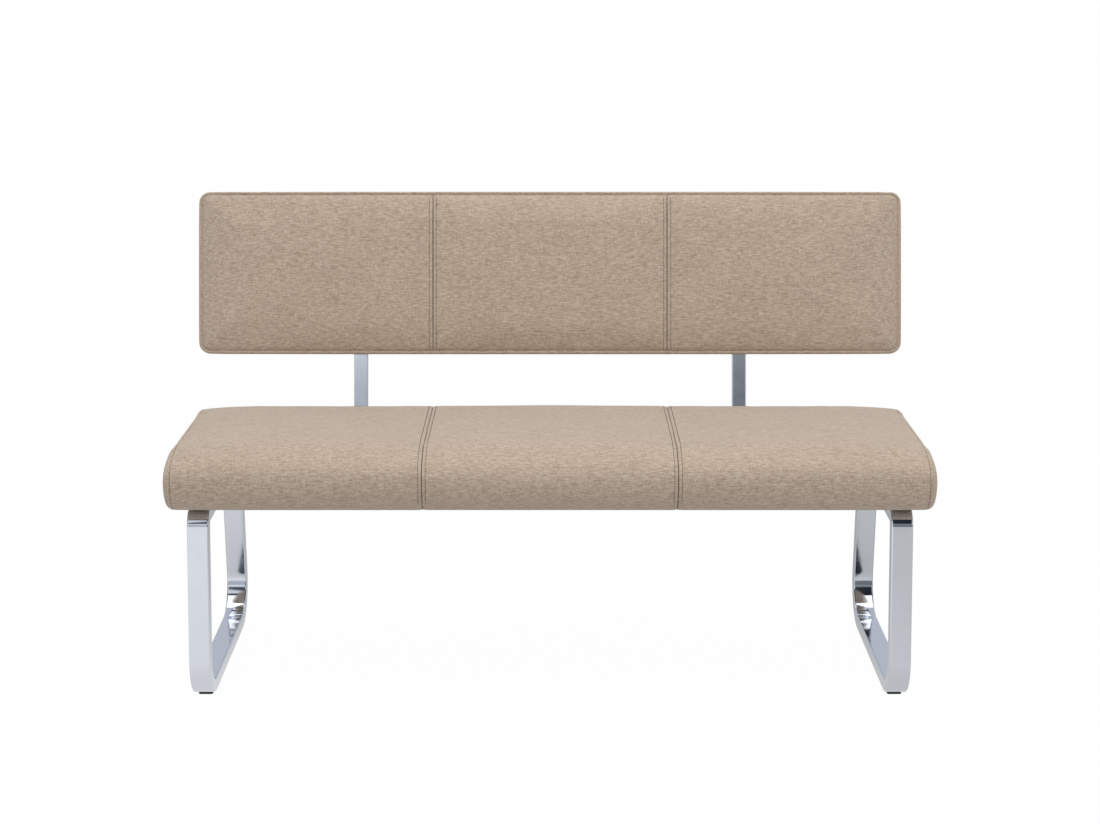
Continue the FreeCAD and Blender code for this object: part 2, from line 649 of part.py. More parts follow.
def seat_curve(x, inset, crown, bulge):
    """Seat's outline at x from under its front, over the top, to under its rear, drawn in by inset."""
    front = size(FRONT) + size("front_crown") - bulge
    low = size("nose_bottom_radius")
    nose = size("nose_top_radius")
    slope = size("nose_slope")
    nose_z = size(NOSE)
    top = size(EDGE) + crown
    rear = size(f"{FRONT} + dims.seat_depth")
    rise = math.radians(90 + slope)
    join_y = front + nose + nose * math.cos(rise)
    join_z = nose_z + nose * math.sin(rise)
    fall = (top - join_z) / (1 - math.cos(math.radians(slope)))
    fall_y = join_y + fall * math.sin(math.radians(slope))
    rear_top = top - size("seat_fall")
    top_radius = size("rear_top_radius")
    bottom_radius = size("rear_bottom_radius")
    bottom_y = rear - bottom_radius
    curve = [
        arc(x, (front + low, nose_z), low - inset, 270, 180),
        arc(x, (front + nose, nose_z), nose - inset, 180, 90 + slope),
        arc(x, (fall_y, top - fall), fall - inset, 90 + slope, 90),
        Part.LineSegment(V(x, fall_y, top - inset), V(x, rear - top_radius, rear_top - inset)).toShape(),
        arc(x, (rear - top_radius, rear_top - top_radius), top_radius - inset, 90, 0),
        Part.LineSegment(
            V(x, rear - inset, rear_top - top_radius), V(x, rear - inset, size(UNDERSIDE) + bottom_radius)
        ).toShape(),
        arc(x, (bottom_y, size(UNDERSIDE) + bottom_radius), bottom_radius - inset, 0, -90),
    ]
    return curve, V(x, front + low, size(UNDERSIDE) + inset), V(x, bottom_y, size(UNDERSIDE) + inset)


def seat_outline(x, inset, crown, bulge):
    curve, first, last = seat_curve(x, inset, crown, bulge)
    return Part.Wire(curve + [Part.LineSegment(last, first).toShape()])


def cover_section(x, crown, bulge):
    """Section of the seat's cover: the cloth wraps the seat and is turned in under both rails."""
    thickness = size("cover_thickness")
    front_flap = size(f"{FRAME_FRONT} + dims.rail_thickness")
    rear_flap = size(f"{FRAME_REAR} - dims.rail_thickness")
    outer, outer_first, outer_last = seat_curve(x, 0, crown, bulge)
    inner, inner_first, inner_last = seat_curve(x, thickness, crown, bulge)
    closing = Part.makePolygon(
        [outer_last, V(x, rear_flap, outer_last.z), V(x, rear_flap, inner_last.z), inner_last]
    )
    opening = Part.makePolygon(
        [inner_first, V(x, front_flap, inner_first.z), V(x, front_flap, outer_first.z), outer_first]
    )
    back_along = [edge.reversed() for edge in reversed(inner)]
    return Part.Wire(outer + closing.Edges + back_along + opening.Edges)


def panel_spans():
    """Each panel's name with the x of its left seam, its middle and its right seam."""
    seam = size("panel_width") / 2
    end = size("bench_width") / 2 - size("end_bulge")
    spans = (("left", -end, -seam), ("centre", -seam, seam), ("right", seam, end))
    return [(name, low, (low + high) / 2, high) for name, low, high in spans]


def panel_sections(low, middle, high, section):
    """Three sections of a seat panel: flat at both seams, crowned between them."""
    crown, bulge = size("seat_crown"), size("front_crown")
    return [section(low, 0, 0), section(middle, crown, bulge), section(high, 0, 0)]


def quarter_round(depth, border):
    """Steps of a quarter round: how far out, and how far drawn in there."""
    turns = [math.radians(angle) for angle in ROUND_STEPS]
    return [(depth * math.sin(turn), border * (1 - math.cos(turn))) for turn in turns]


def end_dome(sign, inset, back):
    """Bulged end of the seat, drawn in by inset; back is how far it reaches inward of the seam."""
    seam = size("bench_width") / 2 - size("end_bulge")
    steps = quarter_round(size("end_bulge") - inset, size("end_round"))
    if back:
        steps.insert(0, (-back, 0))
    levels = [seat_outline(sign * (seam + out), inset + drawn, 0, 0) for out, drawn in steps]
    return Part.makeLoft(levels, True, True)


def seat_soft_parts():
    """Foam, three cover panels and two end panels of the seat."""
    inset = size("cover_thickness") + size("soft_clearance")
    pieces = []
    blocks = []

    def foam_section(x, crown, bulge):
        return seat_outline(x, inset, crown, bulge)

    for name, low, middle, high in panel_spans():
        cover = Part.makeLoft(panel_sections(low, middle, high, cover_section), True, False)
        pieces.append(shaped(f"seat_cover_{name}", cover))
        blocks.append(Part.makeLoft(panel_sections(low, middle, high, foam_section), True, False))
    thickness = size("cover_thickness")
    for side, sign in SIDES:
        shell = end_dome(sign, 0, 0).cut(end_dome(sign, thickness, thickness))
        pieces.append(shaped(f"seat_end_panel_{side}", shell))
        blocks.append(end_dome(sign, inset, 0))
    foam = blocks[0].multiFuse(blocks[1:]).removeSplitter()
    clearance = size("soft_clearance")
    end = size(FRAME_END) + clearance
    front, rear = size(FRAME_FRONT) - clearance, size(FRAME_REAR) + clearance
    pocket = Part.makeBox(2 * end, rear - front, size(FELT_TOP), V(-end, front, 0))
    pieces.append(shaped("seat_foam", foam.cut(pocket)))
    return pieces


def seat_lining():
    """Dust cloth stapled under the rails between the leg bearers, pierced for the arm bolts."""
    reach = f"({LEG_X} - dims.bearer_reach)"
    half_rail = "dims.rail_thickness / 2"
    cloth = box(
        "seat_lining_cloth", (f"-{reach}", f"{FRAME_FRONT} + {half_rail}", ARM_TOP),
        (f"2 * {reach}", f"{FRAME_REAR} - {FRAME_FRONT} - dims.rail_thickness", "dims.lining_thickness"),
    )
    holes = []
    for _, sign in SIDES:
        for y in arm_bolt_places():
            low = place_at(f"{sign} * {UPRIGHT_X}", y, ARM_BOTTOM)
            holes.append(cylinder("seat_lining_hole", low, BOLT_HOLE, "2 * dims.upright_thickness"))
    return cut("seat_lining", cloth, holes)


def spring_felt():
    return box(
        "spring_felt", (f"-{FRAME_END}", FRAME_FRONT, f"{FRAME_TOP} + dims.clip_height"),
        (f"2 * {FRAME_END}", f"{FRAME_REAR} - {FRAME_FRONT}", "dims.felt_thickness"),
    )


def back_placement():
    """The leaning back's own frame: Y behind the uprights' middle, Z up along them from the kink."""
    turn = FreeCAD.Rotation(V(1, 0, 0), -size("back_lean"))
    return FreeCAD.Placement(V(0, size(UPRIGHT_Y), size(KINK)), turn)


def rounded_outline(depth, low, high, radii):
    """Rounded rectangle in the back's plane at a depth; radii are those of its left and right corners."""
    (x0, z0), (x1, z1) = low, high
    left, right = radii
    slant = 1 - math.sqrt(0.5)

    def corner(x, z, way_x, way_z, radius, turned):
        start = V(x, depth, z + way_z * radius)
        middle = V(x + way_x * radius * slant, depth, z + way_z * radius * slant)
        end = V(x + way_x * radius, depth, z)
        points = (end, middle, start) if turned else (start, middle, end)
        return Part.Arc(*points).toShape(), points[0], points[2]

    corners = [
        corner(x0, z0, 1, 1, left, False),
        corner(x1, z0, -1, 1, right, True),
        corner(x1, z1, -1, -1, right, False),
        corner(x0, z1, 1, -1, left, True),
    ]
    edges = []
    for number, (bend, _, leave) in enumerate(corners):
        edges.append(bend)
        edges.append(Part.LineSegment(leave, corners[(number + 1) % 4][1]).toShape())
    return Part.Wire(edges)


def back_outline(depth, inset):
    """Outline of the whole back at a depth, drawn in by inset."""
    half = size("bench_width") / 2 - inset
    low = size("back_start") + inset
    high = size("back_start") + size("back_height") - inset
    radius = max(size("back_corner_radius") - inset, size("channel_corner_radius"))
    return rounded_outline(depth, (-half, low), (half, high), (radius, radius))


def board_rear():
    return -size("upright_thickness") / 2


def board_front():
    return board_rear() - size("board_thickness")


def front_seam():
    return board_front() - size("back_pad") + size("back_front_edge")


def rear_seam():
    return board_rear() + size("rear_pad") + size("upright_thickness") - size("rear_edge")


def panel_border(x, drawn, raised):
    """How far a back panel's side at x is drawn in: little at a sewn seam, more at the band."""
    if abs(x) < size("bench_width") / 2:
        return drawn * size("channel_border") / size("back_border") + raised
    return drawn + raised + size("boxing_bulge")


def panel_corner(x, drawn):
    """Corner radius of a back panel at its side x."""
    tight = size("channel_corner_radius")
    if abs(x) < size("bench_width") / 2:
        return tight
    return max(size("back_corner_radius") - size("boxing_bulge") - drawn, tight)


def back_pad_solid(low_x, high_x, inset, back):
    """One crowned panel of the back, drawn in by inset, from back behind its seam to its front."""
    edge = size("back_front_edge") - size("back_crown") - inset
    border = size("back_border")
    steps = [(out, drawn, 0) for out, drawn in quarter_round(edge, border)]
    steps.append((edge + size("back_crown"), border, size("crown_border")))
    if back:
        steps.insert(0, (-back, 0, 0))
    levels = []
    for out, drawn, raised in steps:
        left = low_x + inset + panel_border(low_x, drawn, raised)
        right = high_x - inset - panel_border(high_x, drawn, raised)
        rise = inset + drawn + raised + size("boxing_bulge")
        low = (left, size("back_start") + rise)
        high = (right, size("back_start") + size("back_height") - rise)
        radii = (panel_corner(low_x, inset + drawn), panel_corner(high_x, inset + drawn))
        levels.append(rounded_outline(front_seam() - out, low, high, radii))
    return Part.makeLoft(levels, True, True)


def back_spans():
    """Left and right limits of the three back panels."""
    seam, end = size("panel_width") / 2, size("bench_width") / 2
    return (("left", -end, -seam), ("centre", -seam, seam), ("right", seam, end))


def slab(inset, start, end):
    """Part of the back with square edges between two depths."""
    return Part.makeLoft([back_outline(start, inset), back_outline(end, inset)], True, True)


def core_inset():
    return size("boxing_bulge") + size("cover_thickness") + size("soft_clearance")


def bar_room(clearance):
    """The space that both uprights take in the back, with their bolts' heads."""
    half = size("upright_width") / 2 + clearance
    deep = size("upright_thickness") + clearance
    tall = size("back_start") + size("upright_in_back") + clearance
    rooms = []
    for _, sign in SIDES:
        x = sign * size(UPRIGHT_X)
        rooms.append(Part.makeBox(2 * half, deep + clearance, tall, V(x - half, board_rear() - clearance, 0)))
        for along in back_bolt_places():
            reach = size("head_height") + clearance
            rooms.append(Part.makeCylinder(
                size("hex_radius") + clearance, deep + reach, V(x, board_rear(), size(along)), V(0, 1, 0)
            ))
    return rooms


def nut_room():
    """Shallow pockets behind the front foam for the tee nuts' flanges."""
    clearance = size("soft_clearance")
    rooms = []
    for _, sign in SIDES:
        for along in back_bolt_places():
            place = V(sign * size(UPRIGHT_X), board_front(), size(along))
            depth = size("nut_flange_thickness") + clearance
            rooms.append(Part.makeCylinder(size("nut_flange_radius") + clearance, depth, place, V(0, -1, 0)))
    return rooms


def boxing_ring(inset, past):
    """The bulged band round the back, drawn in by inset and reaching past both seams."""
    bulge = size("boxing_bulge")
    start, end = front_seam(), rear_seam()
    levels = []
    for turn in BAND_STEPS:
        depth = start + (end - start) * (1 - math.cos(math.radians(turn))) / 2
        levels.append(back_outline(depth, inset + bulge * (1 - math.sin(math.radians(turn)))))
    if past:
        levels = [back_outline(start - past, inset + bulge), *levels, back_outline(end + past, inset + bulge)]
    return Part.makeLoft(levels, True, True)


def rear_dome(inset, back):
    """Rear cover's rounded form, drawn in by inset."""
    start = rear_seam()
    steps = quarter_round(size("rear_edge") - inset, size("back_border"))
    if back:
        steps.insert(0, (-back, 0))
    bulge = size("boxing_bulge") + inset
    return Part.makeLoft([back_outline(start + out, bulge + drawn) for out, drawn in steps], True, True)


def back_soft_parts():
    """Covers and foam of the back."""
    place = back_placement()
    thickness, clearance = size("cover_thickness"), size("soft_clearance")
    inset = thickness + clearance
    pieces = []
    pads = []
    for name, low_x, high_x in back_spans():
        shell = back_pad_solid(low_x, high_x, 0, 0).cut(back_pad_solid(low_x, high_x, thickness, thickness))
        pieces.append(shaped(f"back_panel_{name}", shell, place))
        pads.append(back_pad_solid(low_x, high_x, inset, inset))
    base = slab(core_inset(), front_seam() + clearance, board_front())
    foam = base.multiFuse(pads).cut(Part.makeCompound(nut_room()))
    pieces.append(shaped("back_foam", foam, place))
    bars = Part.makeCompound(bar_room(clearance))
    band = boxing_ring(0, 0).cut(boxing_ring(thickness, thickness)).cut(bars)
    pieces.append(shaped("back_boxing", band, place))
    rear = rear_dome(0, 0).cut(rear_dome(thickness, thickness))
    pieces.append(shaped("back_rear_cover", rear, place))
    rear_slab = slab(core_inset(), board_rear(), rear_seam() - clearance)
    rear_foam = rear_slab.fuse(rear_dome(inset, 2 * clearance)).cut(bars)
    pieces.append(shaped("back_rear_foam", rear_foam, place))
    board = slab(core_inset(), board_front(), board_rear())
    bores = []
    for _, sign in SIDES:
        for along in back_bolt_places():
            x = sign * size(UPRIGHT_X)
            low = V(x, board_rear(), size(along))
            bores.append(Part.makeCylinder(size(BOLT_HOLE), size("board_thickness"), low, V(0, -1, 0)))
            socket = V(x, board_front(), size(along))
            radius = size("nut_barrel_radius") + size("thread_clearance")
            bores.append(Part.makeCylinder(radius, size("nut_barrel_length"), socket, V(0, 1, 0)))
    pieces.append(shaped("back_board", board.cut(Part.makeCompound(bores)), place))
    return pieces


def build():
    pieces = []
    for side, sign in SIDES:
        pieces.append(leg_loop(side, sign))
        for end, y in zip(("front", "rear"), glide_places()):
            pieces.append(glide(f"glide_{side}_{end}", f"{sign} * {LEG_X}", y))
        pieces.append(upright(side, sign))
    pieces += seat_frame()
    pieces.append(frame_screws())
    pieces += fasteners()
    pieces += springs_and_clips()
    pieces += [spring_felt(), seat_lining()]
    pieces += seat_soft_parts()
    pieces += back_soft_parts()
    doc.recompute()
    return pieces


def export(pieces):
    for thing in doc.Objects:
        if "Invalid" in thing.State or "Error" in thing.State:
            raise RuntimeError(f"{thing.Label}: {thing.State}")
    for piece in pieces:
        if piece.Shape.isNull() or not piece.Shape.isValid() or not piece.Shape.Solids:
            raise RuntimeError(f"{piece.Label}: no valid solid")
    os.makedirs("parts", exist_ok=True)
    for piece in pieces:
        piece.Shape.exportStep(f"parts/{piece.Label}.step")
        print(f"{piece.Label}: {len(piece.Shape.Solids)} solids, {piece.Shape.Volume:.0f} mm3")


export(build())
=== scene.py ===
import json
import math

import bpy
import numpy as np
from bpy.props import FloatProperty, FloatVectorProperty, PointerProperty
from mathutils import Matrix, Vector


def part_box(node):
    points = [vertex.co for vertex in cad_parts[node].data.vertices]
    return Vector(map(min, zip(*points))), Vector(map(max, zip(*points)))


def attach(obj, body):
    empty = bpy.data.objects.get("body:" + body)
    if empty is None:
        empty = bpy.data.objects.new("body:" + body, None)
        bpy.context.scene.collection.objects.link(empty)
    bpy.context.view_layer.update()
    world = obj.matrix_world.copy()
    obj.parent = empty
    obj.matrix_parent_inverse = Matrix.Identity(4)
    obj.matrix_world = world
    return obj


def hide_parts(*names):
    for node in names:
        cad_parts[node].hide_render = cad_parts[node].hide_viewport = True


bl_info = {
    "name": "Upholstered banquette",
    "version": (1, 0, 0),
    "blender": (4, 5, 0),
    "location": "3D View > Sidebar > Banquette",
    "description": "Cushions, stitching, finishes and a studio for the packed banquette",
    "category": "Object",
}

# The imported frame, and the places that the cushions take from it
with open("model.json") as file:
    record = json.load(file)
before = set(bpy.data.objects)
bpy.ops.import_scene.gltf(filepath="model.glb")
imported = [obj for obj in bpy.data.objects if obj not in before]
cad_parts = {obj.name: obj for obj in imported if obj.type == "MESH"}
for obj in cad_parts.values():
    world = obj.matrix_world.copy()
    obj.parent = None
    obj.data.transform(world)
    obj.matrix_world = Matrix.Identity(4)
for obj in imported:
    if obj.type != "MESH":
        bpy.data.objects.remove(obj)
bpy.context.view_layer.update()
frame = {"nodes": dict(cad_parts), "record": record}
SEAT_LOW, SEAT_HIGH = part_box("seat_cover_centre")
BENCH_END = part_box("seat_end_panel_right")[1].x
END_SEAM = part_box("seat_end_panel_right")[0].x
BACK_MIDDLE = sum(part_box("back_board"), Vector()) / 2
MM = 0.001

# The cushions are remeshed this finely and blown up over this many frames
VOXEL = 6 * MM
SWELL_FRAMES = 20
SWELL_PRESSURE = 4.0

# Neighbouring bevels stop just short of each other
BEVEL_SHARE = 0.97

# Points this close lie in the same place, and faces this well aligned face along an axis
TOUCH = 0.01 * MM
FACING = 0.9

# Steeper edges stay sharp on a smooth piece
SHARP_EDGE = math.radians(60)

# Flats in the bends at a leg loop's feet and head
FOOT_STEPS = 28
HEAD_STEPS = 24

# How full the panels and the band are padded
PAD_FILL = 0.8
BAND_FILL = 0.9

# The lens is in millimetres on a 36 mm sensor, the place in metres and the tilt in degrees below level
CAMERA_LENS = 73.64
CAMERA_PLACE = (0, -4.2284, 1.458)
CAMERA_TILT = 12.82

# Soft boxes, aimed at the middle of the bench: place and size in metres, power in watts
AIM = Vector((0, 0, 0.45))
SOFT_BOXES = (
    ("overhead_softbox", (0, -0.5, 3.2), 3.0, 47),
    ("front_softbox", (-2.4, -3.4, 2.6), 2.4, 13),
    ("side_softbox", (3.0, -2.4, 1.8), 1.8, 12),
)

# Screens and ceiling that the chrome mirrors, by the sine of their height above the horizon
SCREENS = (
    (0.0, "#c8ccd4"), (0.24, "#b0b6be"), (0.25, "#f2f4f8"),
    (0.33, "#e6e9ee"), (0.38, "#4a515c"), (1.0, "#2b3038"),
)

# Share of the floor's brightness that is its own where the camera or the chrome sees it
FLOOR_GLOW = 0.985


def linear(code):
    """Linear colour of an sRGB hex value."""
    parts = [int(code[i:i + 2], 16) / 255 for i in (1, 3, 5)]
    return [c / 12.92 if c <= 0.04045 else ((c + 0.055) / 1.055) ** 2.4 for c in parts]


def length(name, description, millimetres):
    return FloatProperty(name=name, description=description, default=millimetres * MM, unit="LENGTH")


def angle(name, description, degrees):
    return FloatProperty(name=name, description=description, default=math.radians(degrees), subtype="ANGLE")


def colour(name, description, code):
    return FloatVectorProperty(name=name, description=description, default=linear(code), subtype="COLOR")


class BanquetteSizes(bpy.types.PropertyGroup):
    """Sizes of the cushions and of the legs"""
    nose_bottom_radius: length("Nose underside", "Lower half of the seat's nose", 68)
    nose_top_radius: length("Nose top", "Upper half of the seat's nose", 34)
    nose_slope: angle("Waterfall", "Slope where the nose runs into the waterfall", 30)
    rear_top_radius: length("Rear top", "Seat's rear top edge", 30)
    rear_bottom_radius: length("Rear bottom", "Seat's rear bottom edge", 22)
    seat_fall: length("Fall", "Seat's top lower at its rear than at its nose", 7)
    seat_crown: length("Seat crown", "Swell of a seat panel between its seams", 6)
    front_crown: length("Front crown", "Bulge of a seat panel's front between its seams", 4)
    end_round: length("End round", "Rounded border of the seat's ends", 13)
    end_reach: length("End reach", "Seat's ends made longer for what the smoothing takes off", 5)
    end_droop: length("End droop", "Seat's top lower at its ends than along its middle", 9)
    droop_length: length("Droop length", "Stretch over which the seat's ends fall away", 130)
    channel_border: length("Channel", "Rounded border of a panel at a sewn seam", 5)
    seam_overlap: length("Seam overlap", "Panel made past its seam before it is cut square there", 4)
    back_lean: angle("Lean", "Back from upright", 13)
    back_height: length("Back height", "Back along its lean", 323.5)
    back_front: length("Back front", "Middle of the board to the panels' face at their seams", 36)
    back_crown: length("Back crown", "Swell of a back panel", 5)
    border_reach: length("Border reach", "Stretch over which a back panel falls away to its seam", 65)
    front_fall: length("Front fall", "Back's front lower at its seam than at its middle", 8)
    rear_fall: length("Rear fall", "Back's rear lower at its seam than at its middle", 4)
    front_seam: length("Front seam", "Middle of the board to the front seam of the band", 26)
    rear_seam: length("Rear seam", "Middle of the board to the rear seam of the band", 20)
    back_rear: length("Back rear", "Middle of the board to the rear cover's face", 26)
    rear_crown: length("Rear crown", "Swell of the rear cover", 3)
    seam_inset: length("Seam inset", "Seam of the band inside its bulge", 6)
    back_border: length("Back border", "Rounded border of the back's panels", 8)
    band_border: length("Band border", "Rounded border of the band round the back", 4)
    seam_groove: length("Seam groove", "Depth of the seam round the back's panels", 7)
    back_corner: length("Back corner", "Corners of the back", 24)
    seam_depth: length("Seam depth", "Depth of a sewn seam drawn in by its thread", 1.3)
    seam_width: length("Seam width", "Half of the width of a sewn seam", 1.5)
    stitch_offset: length("Stitch offset", "Row of topstitching from its seam", 7)
    stitch_pitch: length("Stitch pitch", "From one stitch to the next", 5)
    stitch_length: length("Stitch length", "Thread that shows between two holes", 3.6)
    thread_radius: length("Thread", "Half of the thread's width", 0.65)
    runner_start: length("Runner start", "Front corner of the runner's sharp outline", -281.9)
    runner_length: length("Runner", "Runner between the corners of its sharp outline", 550)
    leg_rake: angle("Rake", "Posts from upright, feet outward", 6.7)
    front_bend: length("Front bend", "Outside of the runner's front bend", 72)
    rear_bend: length("Rear bend", "Outside of the runner's rear bend", 94)
    top_bend: length("Top bend", "Outside of the loop's top bends", 32)
    tube_depth: length("Tube depth", "Leg tube in the loop's plane", 25)
    tube_edge: length("Tube edge", "Rounded long edges of the leg tube", 3)


class BanquetteColours(bpy.types.PropertyGroup):
    """Colours of the finishes"""
    yarn_light: colour("Light yarn", "Palest yarn of the cloth", "#c9b9a8")
    yarn_dark: colour("Dark yarn", "Deepest yarn of the cloth", "#948170")
    thread: colour("Thread", "Sewing thread", "#68563f")
    chrome: colour("Chrome", "Chrome plate", "#dfe3ea")
    floor: colour("Floor", "Studio floor", "#dcdcdc")


def sizes():
    return bpy.context.scene.banquette_sizes


def colours():
    return bpy.context.scene.banquette_colours


# Tools for shaping a piece


def begin(piece):
    bpy.ops.object.select_all(action="DESELECT")
    piece.select_set(True)
    bpy.context.view_layer.objects.active = piece


def select_edges(piece, chosen):
    """Into edit mode with the edges selected whose two ends please chosen."""
    bpy.ops.object.mode_set(mode="EDIT")
    bpy.ops.mesh.select_mode(type="EDGE")
    bpy.ops.mesh.select_all(action="DESELECT")
    bpy.ops.object.mode_set(mode="OBJECT")
    points = piece.data.vertices
    for edge in piece.data.edges:
        edge.select = chosen(points[edge.vertices[0]].co, points[edge.vertices[1]].co)
    bpy.ops.object.mode_set(mode="EDIT")


def select_faces(piece, chosen):
    """Into edit mode with the faces selected that please chosen."""
    bpy.ops.object.mode_set(mode="EDIT")
    bpy.ops.mesh.select_mode(type="FACE")
    bpy.ops.mesh.select_all(action="DESELECT")
    bpy.ops.object.mode_set(mode="OBJECT")
    for face in piece.data.polygons:
        face.select = chosen(face)
    bpy.ops.object.mode_set(mode="EDIT")


def round_edges(piece, chosen, offset, segments):
    select_edges(piece, chosen)
    bpy.ops.mesh.bevel(offset=offset, segments=segments, profile=0.5, affect="EDGES")
    bpy.ops.object.mode_set(mode="OBJECT")


def prism(name, corners, start, end):
    """A section drawn out along X, with its long edges rounded as its corners say."""
    bpy.ops.object.select_all(action="DESELECT")
    bpy.ops.mesh.primitive_circle_add(vertices=len(corners), fill_type="NGON")
    block = bpy.context.object
    block.name = name
    for vertex, ((y, z), _, _) in zip(block.data.vertices, corners):
        vertex.co = (start, y, z)
    bpy.ops.object.mode_set(mode="EDIT")
    bpy.ops.mesh.select_all(action="SELECT")
    bpy.ops.mesh.extrude_region_move(TRANSFORM_OT_translate={"value": (end - start, 0, 0)})
    bpy.ops.mesh.select_all(action="SELECT")
    bpy.ops.mesh.normals_make_consistent(inside=False)
    bpy.ops.object.mode_set(mode="OBJECT")
    for place, offset, steps in corners:
        def at_corner(a, b):
            return all((Vector((p.y, p.z)) - Vector(place)).length < TOUCH for p in (a, b))
        round_edges(block, at_corner, offset, steps)
    return block


def trim(piece, x, outward):
    """Cuts the piece where it is sewn to its neighbour, with the cut's border drawn in by the thread."""
    s = sizes()
    begin(piece)
    bpy.ops.object.mode_set(mode="EDIT")
    for place, cut in ((x - outward * s.seam_width, False), (x, True)):
        bpy.ops.mesh.select_all(action="SELECT")
        bpy.ops.mesh.bisect(plane_co=(place, 0, 0), plane_no=(outward, 0, 0), clear_outer=cut)
    bpy.ops.object.mode_set(mode="OBJECT")
    draw_in(piece, Vector((x, 0, 0)), Vector((1, 0, 0)), s.seam_depth)


def draw_in(piece, place, across, depth):
    """Draws in the points that lie in a plane."""
    for vertex in piece.data.vertices:
        if abs((vertex.co - place).dot(across)) < TOUCH:
            vertex.co -= vertex.normal * depth


def apply_modifier(piece, kind, **settings):
    begin(piece)
    modifier = piece.modifiers.new(kind.lower(), kind)
    for name, value in settings.items():
        setattr(modifier, name, value)
    bpy.ops.object.modifier_apply(modifier=modifier.name)


def remesh(piece):
    begin(piece)
    piece.data.remesh_voxel_size = VOXEL
    bpy.ops.object.voxel_remesh()
    apply_modifier(piece, "SMOOTH", factor=0.5, iterations=3)


def swell(piece, sewn, reach):
    """Blows the piece up with cloth pressure where it isn't sewn down, by reach at most."""
    begin(piece)
    group = piece.vertex_groups.new(name="sewn")
    group.add([v.index for v in piece.data.vertices if sewn(v.co)], 1.0, "REPLACE")
    rest = points_of(piece)
    modifier = piece.modifiers.new("swell", "CLOTH")
    cloth = modifier.settings
    cloth.vertex_group_mass = group.name
    cloth.use_pressure = True
    cloth.uniform_pressure_force = SWELL_PRESSURE
    cloth.effector_weights.gravity = 0
    modifier.point_cache.frame_end = SWELL_FRAMES
    for number in range(1, SWELL_FRAMES + 1):
        bpy.context.scene.frame_set(number)
    bpy.ops.object.modifier_apply(modifier=modifier.name)
    bpy.context.scene.frame_set(1)
    moved = points_of(piece) - rest
    furthest = np.linalg.norm(moved, axis=1).max()
    set_points(piece, rest + moved * min(1.0, reach / furthest))
    piece.vertex_groups.clear()
    apply_modifier(piece, "SMOOTH", factor=0.5, iterations=2)


def points_of(piece):
    points = np.empty(len(piece.data.vertices) * 3)
    piece.data.vertices.foreach_get("co", points)
    return points.reshape(-1, 3)


def set_points(piece, points):
    piece.data.vertices.foreach_set("co", points.ravel())
    piece.data.update()


def sew(piece, place, across, depth, width):
    """A sewn seam where a plane crosses the piece: three cuts, the middle one drawn in."""
    begin(piece)
    bpy.ops.object.mode_set(mode="EDIT")
    for shift in (-width, 0, width):
        bpy.ops.mesh.select_all(action="SELECT")
        bpy.ops.mesh.bisect(plane_co=place + across * shift, plane_no=across)
    bpy.ops.object.mode_set(mode="OBJECT")
    draw_in(piece, place, across, depth)


def finish_soft(piece, material, fill, *nodes):
    """Closed seam walls, smooth shading, the cloth, a place under the root body, and the imported nodes that
    the piece stands for hidden.
    """
    begin(piece)
    bpy.ops.object.mode_set(mode="EDIT")
    bpy.ops.mesh.select_all(action="SELECT")
    bpy.ops.mesh.fill_holes(sides=0)
    bpy.ops.object.mode_set(mode="OBJECT")
    bpy.ops.object.shade_smooth_by_angle(angle=SHARP_EDGE)
    piece.data.materials.clear()
    piece.data.materials.append(material)
    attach(piece, "root")
    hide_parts(*nodes)


# Materials


def new_material(name):
    """A material with its Principled shader."""
    material = bpy.data.materials.new(name)
    material.use_nodes = True
    return material, material.node_tree.nodes["Principled BSDF"]


def add(tree, kind, inputs=None, **settings):
    """A node with its settings; inputs gives sockets a value or another node's output."""
    node = tree.nodes.new(kind)
    for name, value in settings.items():
        setattr(node, name, value)
    for socket, value in (inputs or {}).items():
        if isinstance(value, bpy.types.NodeSocket):
            tree.links.new(value, node.inputs[socket])
        else:
            node.inputs[socket].default_value = value
    return node


def streaks(tree, spacing, place=None):
    """Noise drawn out along the axes with the long spacings, in object space unless placed."""
    place = place or add(tree, "ShaderNodeTexCoord").outputs["Object"]
    scale = [1 / (mm * MM) for mm in spacing]
    drawn = add(tree, "ShaderNodeMapping", {"Vector": place, "Scale": scale})
    return add(tree, "ShaderNodeTexNoise", {"Vector": drawn.outputs[0], "Scale": 1.0, "Detail": 2.0})


